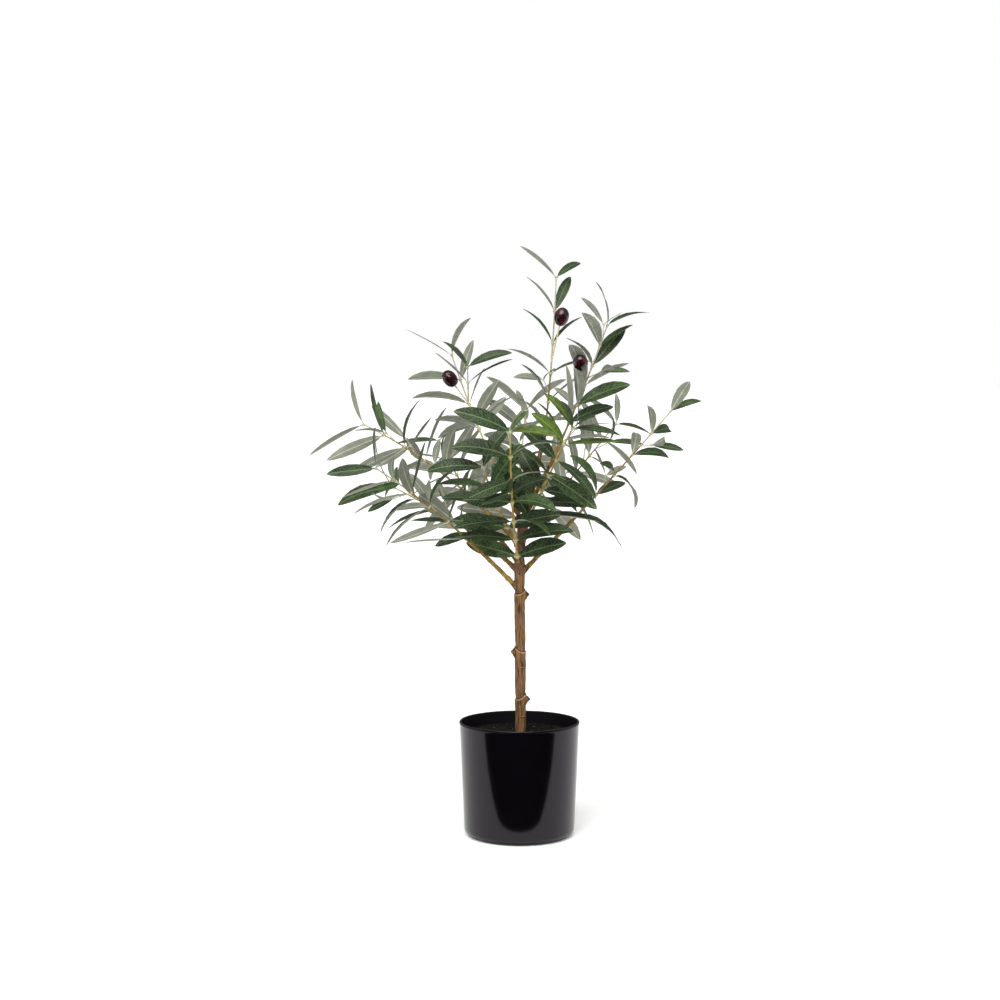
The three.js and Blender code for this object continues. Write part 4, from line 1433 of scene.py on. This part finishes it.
# How a leaf's numbers are worked out: name, operation and terms, which are its own numbers, the
# tree's sizes, the noise or earlier rows.
LEAF_SUMS = (
    ("angle", "MULTIPLY", "bend", "share"),
    ("sine", "SINE", "angle"),
    ("cosine", "COSINE", "angle"),
    ("forth", "MULTIPLY", "sine", "reach"),
    ("back", "SUBTRACT", "cosine", 1.0),
    ("fall", "MULTIPLY", "back", "reach"),
    ("sideways", "MULTIPLY", "across", "half"),
    # Distance off the arc: the cloth's own thickness, the fold and the wave, which lifts and
    # tilts each row as a whole, so the two sides never cross.
    ("skin", "MULTIPLY", "lift", "Thickness"),
    ("folded", "MULTIPLY", "curl", "fold"),
    ("raised", "MULTIPLY_ADD", "folded", "half", "skin"),
    ("tilted", "MULTIPLY_ADD", "tilt", "across", "heave"),
    ("waved", "MULTIPLY", "tilted", "Wave"),
    ("stand", "MULTIPLY_ADD", "waved", "share", "raised"),
    ("square", "MULTIPLY", "share", "share"),
    ("hang", "MULTIPLY", "square", "length"),
    ("sag", "MULTIPLY", "hang", "Sag"),
)


def leaf_tree(blank, tops, under, rib):
    """A blade on every point, curled along its own arc, folded along its rib and waved."""
    tree, ends = geometry_tree("Leaves", ("Sag", "Wave", "Thickness"))
    whole = deal_out(tree, ends["Geometry"], blank)
    known = dict(ends)
    for kind, words in (("FLOAT_VECTOR", ("root", "out", "face", "side")),
                        ("FLOAT", ("share", "across", "lift", "curl", "reach", "length", "half",
                                   "bend", "fold", "phase")),
                        ("INT", ("part", "shade"))):
        for word in words:
            known[word] = add_node(tree, "GeometryNodeInputNamedAttribute", {"Name": word},
                                   data_type=kind)
    spot = add_node(tree, "ShaderNodeCombineXYZ", {"X": known["share"], "Y": known["phase"]})
    noise = add_node(tree, "ShaderNodeTexNoise", {"Vector": spot, "Scale": 1.6, "Detail": 0},
                     out="Color")
    noise = add_node(tree, "ShaderNodeVectorMath", {0: noise, 1: (0.5, 0.5, 0.5)},
                     operation="SUBTRACT")
    split = add_node(tree, "ShaderNodeSeparateXYZ", {"Vector": noise}).node
    known["heave"], known["tilt"], _ = split.outputs
    for name, operation, *terms in LEAF_SUMS:
        known[name] = add_node(tree, "ShaderNodeMath",
                               {k: known.get(term, term) for k, term in enumerate(terms)},
                               operation=operation)
    down = add_node(tree, "ShaderNodeVectorMath", {0: (0, 0, -1), "Scale": known["sag"]},
                    operation="SCALE")
    turned = add_node(tree, "ShaderNodeVectorMath", {0: known["face"], "Scale": known["cosine"]},
                      operation="SCALE")
    known["upright"] = add_node(tree, "ShaderNodeVectorMath",
                                {0: known["out"], 1: known["sine"], 2: turned},
                                operation="MULTIPLY_ADD")
    place = add_node(tree, "ShaderNodeVectorMath", {0: known["root"], 1: down}, operation="ADD")
    for way, distance in (("out", "forth"), ("face", "fall"), ("side", "sideways"),
                          ("upright", "stand")):
        place = add_node(tree, "ShaderNodeVectorMath",
                         {0: known[way], 1: known[distance], 2: place}, operation="MULTIPLY_ADD")
    whole = add_node(tree, "GeometryNodeSetPosition", {"Geometry": whole, "Position": place})
    whole = add_node(tree, "GeometryNodeRealizeInstances", {"Geometry": whole})
    # Part 0 is the upper side, dealt out by shade. Then come the underside and the rib.
    upper = add_node(tree, "FunctionNodeCompare", {"A": known["part"], "B": 0}, data_type="INT",
                     operation="EQUAL")
    lower = add_node(tree, "ShaderNodeMath", {0: known["part"], 1: len(tops) - 1.0},
                     operation="ADD")
    number = add_node(tree, "GeometryNodeSwitch",
                      {"Switch": upper, "False": lower, "True": known["shade"]},
                      input_type="FLOAT")
    whole = add_node(tree, "GeometryNodeStoreNamedAttribute",
                     {"Geometry": whole, "Name": "number", "Value": number}, data_type="INT",
                     domain="FACE")
    dress(tree, whole, "number", [*tops, under, rib])
    return tree


def leaf_top_finish(name, colour, vein, mottle):
    """Polyester cloth, heat-pressed and printed: a pale midrib, faint side veins every 4 mm, a
    fine broken net between them, and a print that fades and darkens about every 9 mm."""
    material, tree, shader = new_material(name, Roughness=0.5, Specular_IOR_Level=0.3)
    sheet = add_node(tree, "ShaderNodeUVMap", uv_map="UVMap")
    place = add_node(tree, "ShaderNodeTexCoord", out="Object")
    split = add_node(tree, "ShaderNodeSeparateXYZ", {"Vector": sheet}).node
    across = add_node(tree, "ShaderNodeMath", {0: split.outputs[0], 1: 0.5},
                      operation="SUBTRACT")
    across = add_node(tree, "ShaderNodeMath", {0: across}, operation="ABSOLUTE")
    # Side veins slant forward from the midrib and wander a little.
    slant = add_node(tree, "ShaderNodeMath", {0: across, 1: -1.5, 2: split.outputs[1]},
                     operation="MULTIPLY_ADD")
    wander = add_node(tree, "ShaderNodeTexNoise", {"Vector": place, "Scale": 160, "Detail": 2})
    slant = add_node(tree, "ShaderNodeMath", {0: wander, 1: 0.22, 2: slant},
                     operation="MULTIPLY_ADD")
    turns = add_node(tree, "ShaderNodeMath", {0: slant, 1: 2 * math.pi * VEIN_SHEET / VEIN_GAP},
                     operation="MULTIPLY")
    wave = add_node(tree, "ShaderNodeMath", {0: turns}, operation="SINE")
    side_veins = add_node(tree, "ShaderNodeMapRange",
                          {"Value": wave, "From Min": 0.4, "From Max": 1.0, "To Max": 0.6})
    net = add_node(tree, "ShaderNodeTexNoise", {"Vector": sheet, "Scale": VEIN_SHEET / 1.3,
                                                "Detail": 2, "Roughness": 0.6})
    net = add_node(tree, "ShaderNodeMapRange",
                   {"Value": net, "From Min": 0.5, "From Max": 0.68, "To Max": 0.75})
    midrib = add_node(tree, "ShaderNodeMapRange",
                      {"Value": across, "From Min": 0.2 / VEIN_SHEET,
                       "From Max": 0.5 / VEIN_SHEET, "To Min": 0.8, "To Max": 0.0})
    veins = add_node(tree, "ShaderNodeMath", {0: side_veins, 1: net}, operation="MAXIMUM")
    veins = add_node(tree, "ShaderNodeMath", {0: veins, 1: 0.62}, operation="MULTIPLY")
    veins = add_node(tree, "ShaderNodeMath", {0: veins, 1: midrib}, operation="MAXIMUM")
    share = add_node(tree, "ShaderNodeMath", {0: veins, 1: 0.75}, operation="MULTIPLY")
    printed, _ = clouded(tree, place, colour, mottle, (0.4, 0.62), Scale=110, Detail=4,
                         Roughness=0.6)
    tint = add_node(tree, "ShaderNodeMix", {"Factor": share, "A": printed, "B": (*vein, 1)},
                    data_type="RGBA")
    cover(shader, tint, veins, 0.35, 0.3)
    return material


def leaf_under_finish(name, colour, streak):
    """Unprinted reverse of the cloth: pale grey-green and dull, with the weave's lengthwise
    streaks about 0.8 mm apart."""
    material, tree, shader = new_material(name, Roughness=0.7, Specular_IOR_Level=0.3,
                                          Sheen_Weight=0.1, Sheen_Roughness=0.5)
    sheet = add_node(tree, "ShaderNodeUVMap", uv_map="UVMap")
    place = add_node(tree, "ShaderNodeTexCoord", out="Object")
    stretched = add_node(tree, "ShaderNodeMapping",
                         {"Vector": sheet, "Scale": (VEIN_SHEET / 0.8, VEIN_SHEET / 9, 1)})
    grain = add_node(tree, "ShaderNodeTexNoise", {"Vector": stretched, "Scale": 1.0, "Detail": 3})
    cloud = add_node(tree, "ShaderNodeTexNoise", {"Vector": place, "Scale": 90, "Detail": 3})
    both = add_node(tree, "ShaderNodeMath", {0: grain, 1: cloud}, operation="ADD")
    share = add_node(tree, "ShaderNodeMapRange",
                     {"Value": both, "From Min": 0.75, "From Max": 1.25})
    tint = add_node(tree, "ShaderNodeMix",
                    {"Factor": share, "A": (*streak, 1), "B": (*colour, 1)}, data_type="RGBA")
    cover(shader, tint, grain, 0.3, 0.2)
    return material


def leaf_shade(limb, leaf, dice):
    """0 dark, 1 middle, 2 young: half the leaves at the tips of three sprays."""
    throw = dice.next()
    if leaf.get("young"):
        return 1 if throw > 0.4 else 0
    if limb.row["name"] in ("front", "front_right", "upper_right") and leaf["along"] > 0.8:
        return 2 if throw < 0.5 else 0
    return 1 if throw > 0.7 else 0


class OLIVETREE_OT_leaves(bpy.types.Operator):
    """Deal the cloth leaves out along every stem"""

    bl_idname = "olive_tree.leaves"
    bl_label = "Leaves"

    def execute(self, context):
        settings = context.scene.olive_leaf
        dice = Dice(settings.seed)
        rows = [(limb, leaf) for limb in TREE for leaf in limb.leaves]
        root, length, width, bend, *ways = (
            np.array([leaf[word] for _, leaf in rows])
            for word in ("root", "length", "width", "bend", "out", "face", "side"))
        leaves = mesh_object("leaves", root, [])
        add_attributes(leaves.data, "FLOAT_VECTOR", root=root * MM,
                       **dict(zip(("out", "face", "side"), ways)))
        add_attributes(leaves.data, "FLOAT", length=length * MM, half=width * FULLER / 2 * MM,
                       bend=bend, reach=length / bend * MM,
                       fold=[mix(0.1, 0.5, dice.next()) for _ in rows],
                       phase=[dice.next() * 60 for _ in rows])
        add_attributes(leaves.data, "INT",
                       shade=[leaf_shade(limb, leaf, dice) for limb, leaf in rows])
        tops = [leaf_top_finish("Printed leaf, " + name, colour, linear(vein), linear(mottle))
                for name, colour, vein, mottle in (
                    ("dark", settings.dark, "#71855a", "#0e190a"),
                    ("middle", settings.middle, "#7c9060", "#14240c"),
                    ("young", settings.bright, "#8fa04e", "#223510"))]
        under = leaf_under_finish("Leaf reverse", settings.under, linear("#74776a"))
        rib = leaf_under_finish("Leaf midrib", settings.rib, linear("#9fa291"))
        blank = leaf_blank()
        settle(leaves, leaf_tree(blank, tops, under, rib), sag=LEAF["sag"], wave=settings.wave,
               thickness=settings.thickness)
        bpy.data.objects.remove(blank)
        hand_over(leaves, ["foliage_" + limb.row["name"] for limb in TREE])
        return {"FINISHED"}


# ---------------------------------------------------------------- floor, light and camera


def floor_finish(colour):
    """Matt opal acrylic over a lamp: pale, even and without gloss, with a faint glow that keeps
    shadows on it light."""
    material, tree, shader = new_material("Opal acrylic", Roughness=0.9, Specular_IOR_Level=0.1,
                                          Emission_Color=(1, 1, 1, 1), Emission_Strength=0.22)
    place = add_node(tree, "ShaderNodeTexCoord", out="Object")
    tint, _ = clouded(tree, place, colour, linear("#f8f8f7"), Scale=30, Detail=3)
    cover(shader, tint)
    return material


def black_flag():
    """Black velvet laid in front of the pot, seen only in its gloss. Its near edge, from the
    middle outwards, shapes the dark reflection."""
    material, _, _ = new_material("Black flag", Roughness=1.0, Specular_IOR_Level=0.0,
                                  Base_Color=(0.002, 0.002, 0.002, 1))
    reach, wall_height, level = 4000, 2500, 1.5
    half = ((32, -99.5), (58, -105), (80, -113), (104, -124), (196, -150), (425, -182),
            (1000, -240), (reach, -540))
    edge = [(-x, y, level) for x, y in reversed(half)] + [(0, -98, level)]
    edge += [(x, y, level) for x, y in half]
    count = len(edge)
    back = [(reach, -reach, level), (-reach, -reach, level)]
    wall = [(-reach, -reach, wall_height), (reach, -reach, wall_height)]
    flag = mesh_object("front_flag", edge + back + wall,
                       [tuple(range(count + 2)), (count + 1, count, count + 3, count + 2)],
                       smooth=False)
    flag.data.materials.append(material)
    for way in ("camera", "diffuse", "transmission", "shadow"):
        setattr(flag, "visible_" + way, False)
    return flag


def aim(item, place, target):
    """Put a light or camera into the scene at a place, pointing at a target, both in metres."""
    item.location = place
    item.rotation_euler = (Vector(target) - Vector(place)).to_track_quat("-Z", "Y").to_euler()
    bpy.context.scene.collection.objects.link(item)


def studio_world(sky):
    """White to the camera, and a fill that is half as bright again in front of the tree as at
    its sides, and dim behind."""
    world = bpy.data.worlds.new("Studio")
    world.use_nodes = True
    tree = world.node_tree
    tree.nodes.clear()
    seen = add_node(tree, "ShaderNodeLightPath", out="Is Camera Ray")
    way = add_node(tree, "ShaderNodeTexCoord", out="Generated")
    split = add_node(tree, "ShaderNodeSeparateXYZ", {"Vector": way}).node
    share = add_node(tree, "ShaderNodeMapRange", {"Value": split.outputs[1], "From Min": -1.0,
                                                  "From Max": 1.0, "To Min": 1.5, "To Max": 0.4})
    level = add_node(tree, "ShaderNodeMath", {0: share, 1: sky}, operation="MULTIPLY")
    fill, white = (add_node(tree, "ShaderNodeBackground",
                            {"Color": (1, 1, 1, 1), "Strength": strength})
                   for strength in (level, 1.0))
    both = add_node(tree, "ShaderNodeMixShader", {0: seen, 1: fill, 2: white})
    add_node(tree, "ShaderNodeOutputWorld", {"Surface": both})
    return world


class OLIVETREE_OT_stage(bpy.types.Operator):
    """Lay the floor and set the soft light and the camera"""

    bl_idname = "olive_tree.stage"
    bl_label = "Floor, light and camera"

    def execute(self, context):
        scene = context.scene
        settings = scene.olive_stage
        scene.view_settings.view_transform = "Standard"
        half = 30000
        floor = mesh_object("floor", [(-half, -half, 0), (half, -half, 0), (half, half, 0),
                                      (-half, half, 0)], [(0, 1, 2, 3)])
        floor.data.materials.append(floor_finish(settings.floor))
        black_flag()
        scene.world = studio_world(settings.sky)
        key = bpy.data.lights.new("Key", "SUN")
        key.energy = settings.sun
        key.angle = math.radians(60)
        aim(bpy.data.objects.new("Key", key), (-0.3, -1.7, 2.1), (0, 0, 0.3))
        softbox = bpy.data.lights.new("Softbox", "AREA")
        softbox.energy = 9
        softbox.shape = "RECTANGLE"
        softbox.size, softbox.size_y = 0.7, 0.9
        aim(bpy.data.objects.new("Softbox", softbox), (-0.25, -1.7, 1.7), (0, 0, 0.35))
        lens = bpy.data.cameras.new("Camera")
        lens.lens = CAMERA["lens"]
        lens.sensor_width = 36
        lens.clip_end = 100
        camera = bpy.data.objects.new("Camera", lens)
        aim(camera, Vector(CAMERA["place"]) * MM, Vector(CAMERA["target"]) * MM)
        scene.camera = camera
        return {"FINISHED"}


# ---------------------------------------------------------------- panel and running

OPERATORS = (OLIVETREE_OT_stage, OLIVETREE_OT_pot, OLIVETREE_OT_soil, OLIVETREE_OT_trunk,
             OLIVETREE_OT_boughs, OLIVETREE_OT_stems, OLIVETREE_OT_collars,
             OLIVETREE_OT_olives, OLIVETREE_OT_leaves)
SETTINGS = {"olive_pot": PotSettings, "olive_bark": BarkSettings, "olive_leaf": LeafSettings,
            "olive_stem": StemSettings, "olive_stage": StageSettings}


class OLIVETREE_PT_pieces(bpy.types.Panel):
    """Pieces of the olive tree and their settings"""

    bl_idname = "OLIVETREE_PT_pieces"
    bl_label = "Olive Tree"
    bl_space_type = "VIEW_3D"
    bl_region_type = "UI"
    bl_category = "Olive Tree"

    def draw(self, context):
        for name, group in SETTINGS.items():
            box = self.layout.box()
            for word in group.__annotations__:
                box.prop(getattr(context.scene, name), word)
        for operator in OPERATORS:
            self.layout.operator(operator.bl_idname)


def register():
    for group in (*SETTINGS.values(), *OPERATORS, OLIVETREE_PT_pieces):
        bpy.utils.register_class(group)
    for name, group in SETTINGS.items():
        setattr(bpy.types.Scene, name, PointerProperty(type=group))


def unregister():
    for name in SETTINGS:
        delattr(bpy.types.Scene, name)
    for group in (OLIVETREE_PT_pieces, *reversed(OPERATORS), *SETTINGS.values()):
        bpy.utils.unregister_class(group)


def main():
    register()
    bpy.ops.olive_tree.stage()
    bpy.ops.olive_tree.pot()
    bpy.ops.olive_tree.soil()
    bpy.ops.olive_tree.trunk()
    bpy.ops.olive_tree.boughs()
    bpy.ops.olive_tree.stems()
    bpy.ops.olive_tree.collars()
    bpy.ops.olive_tree.olives()
    bpy.ops.olive_tree.leaves()


if __name__ == "__main__":
    main()
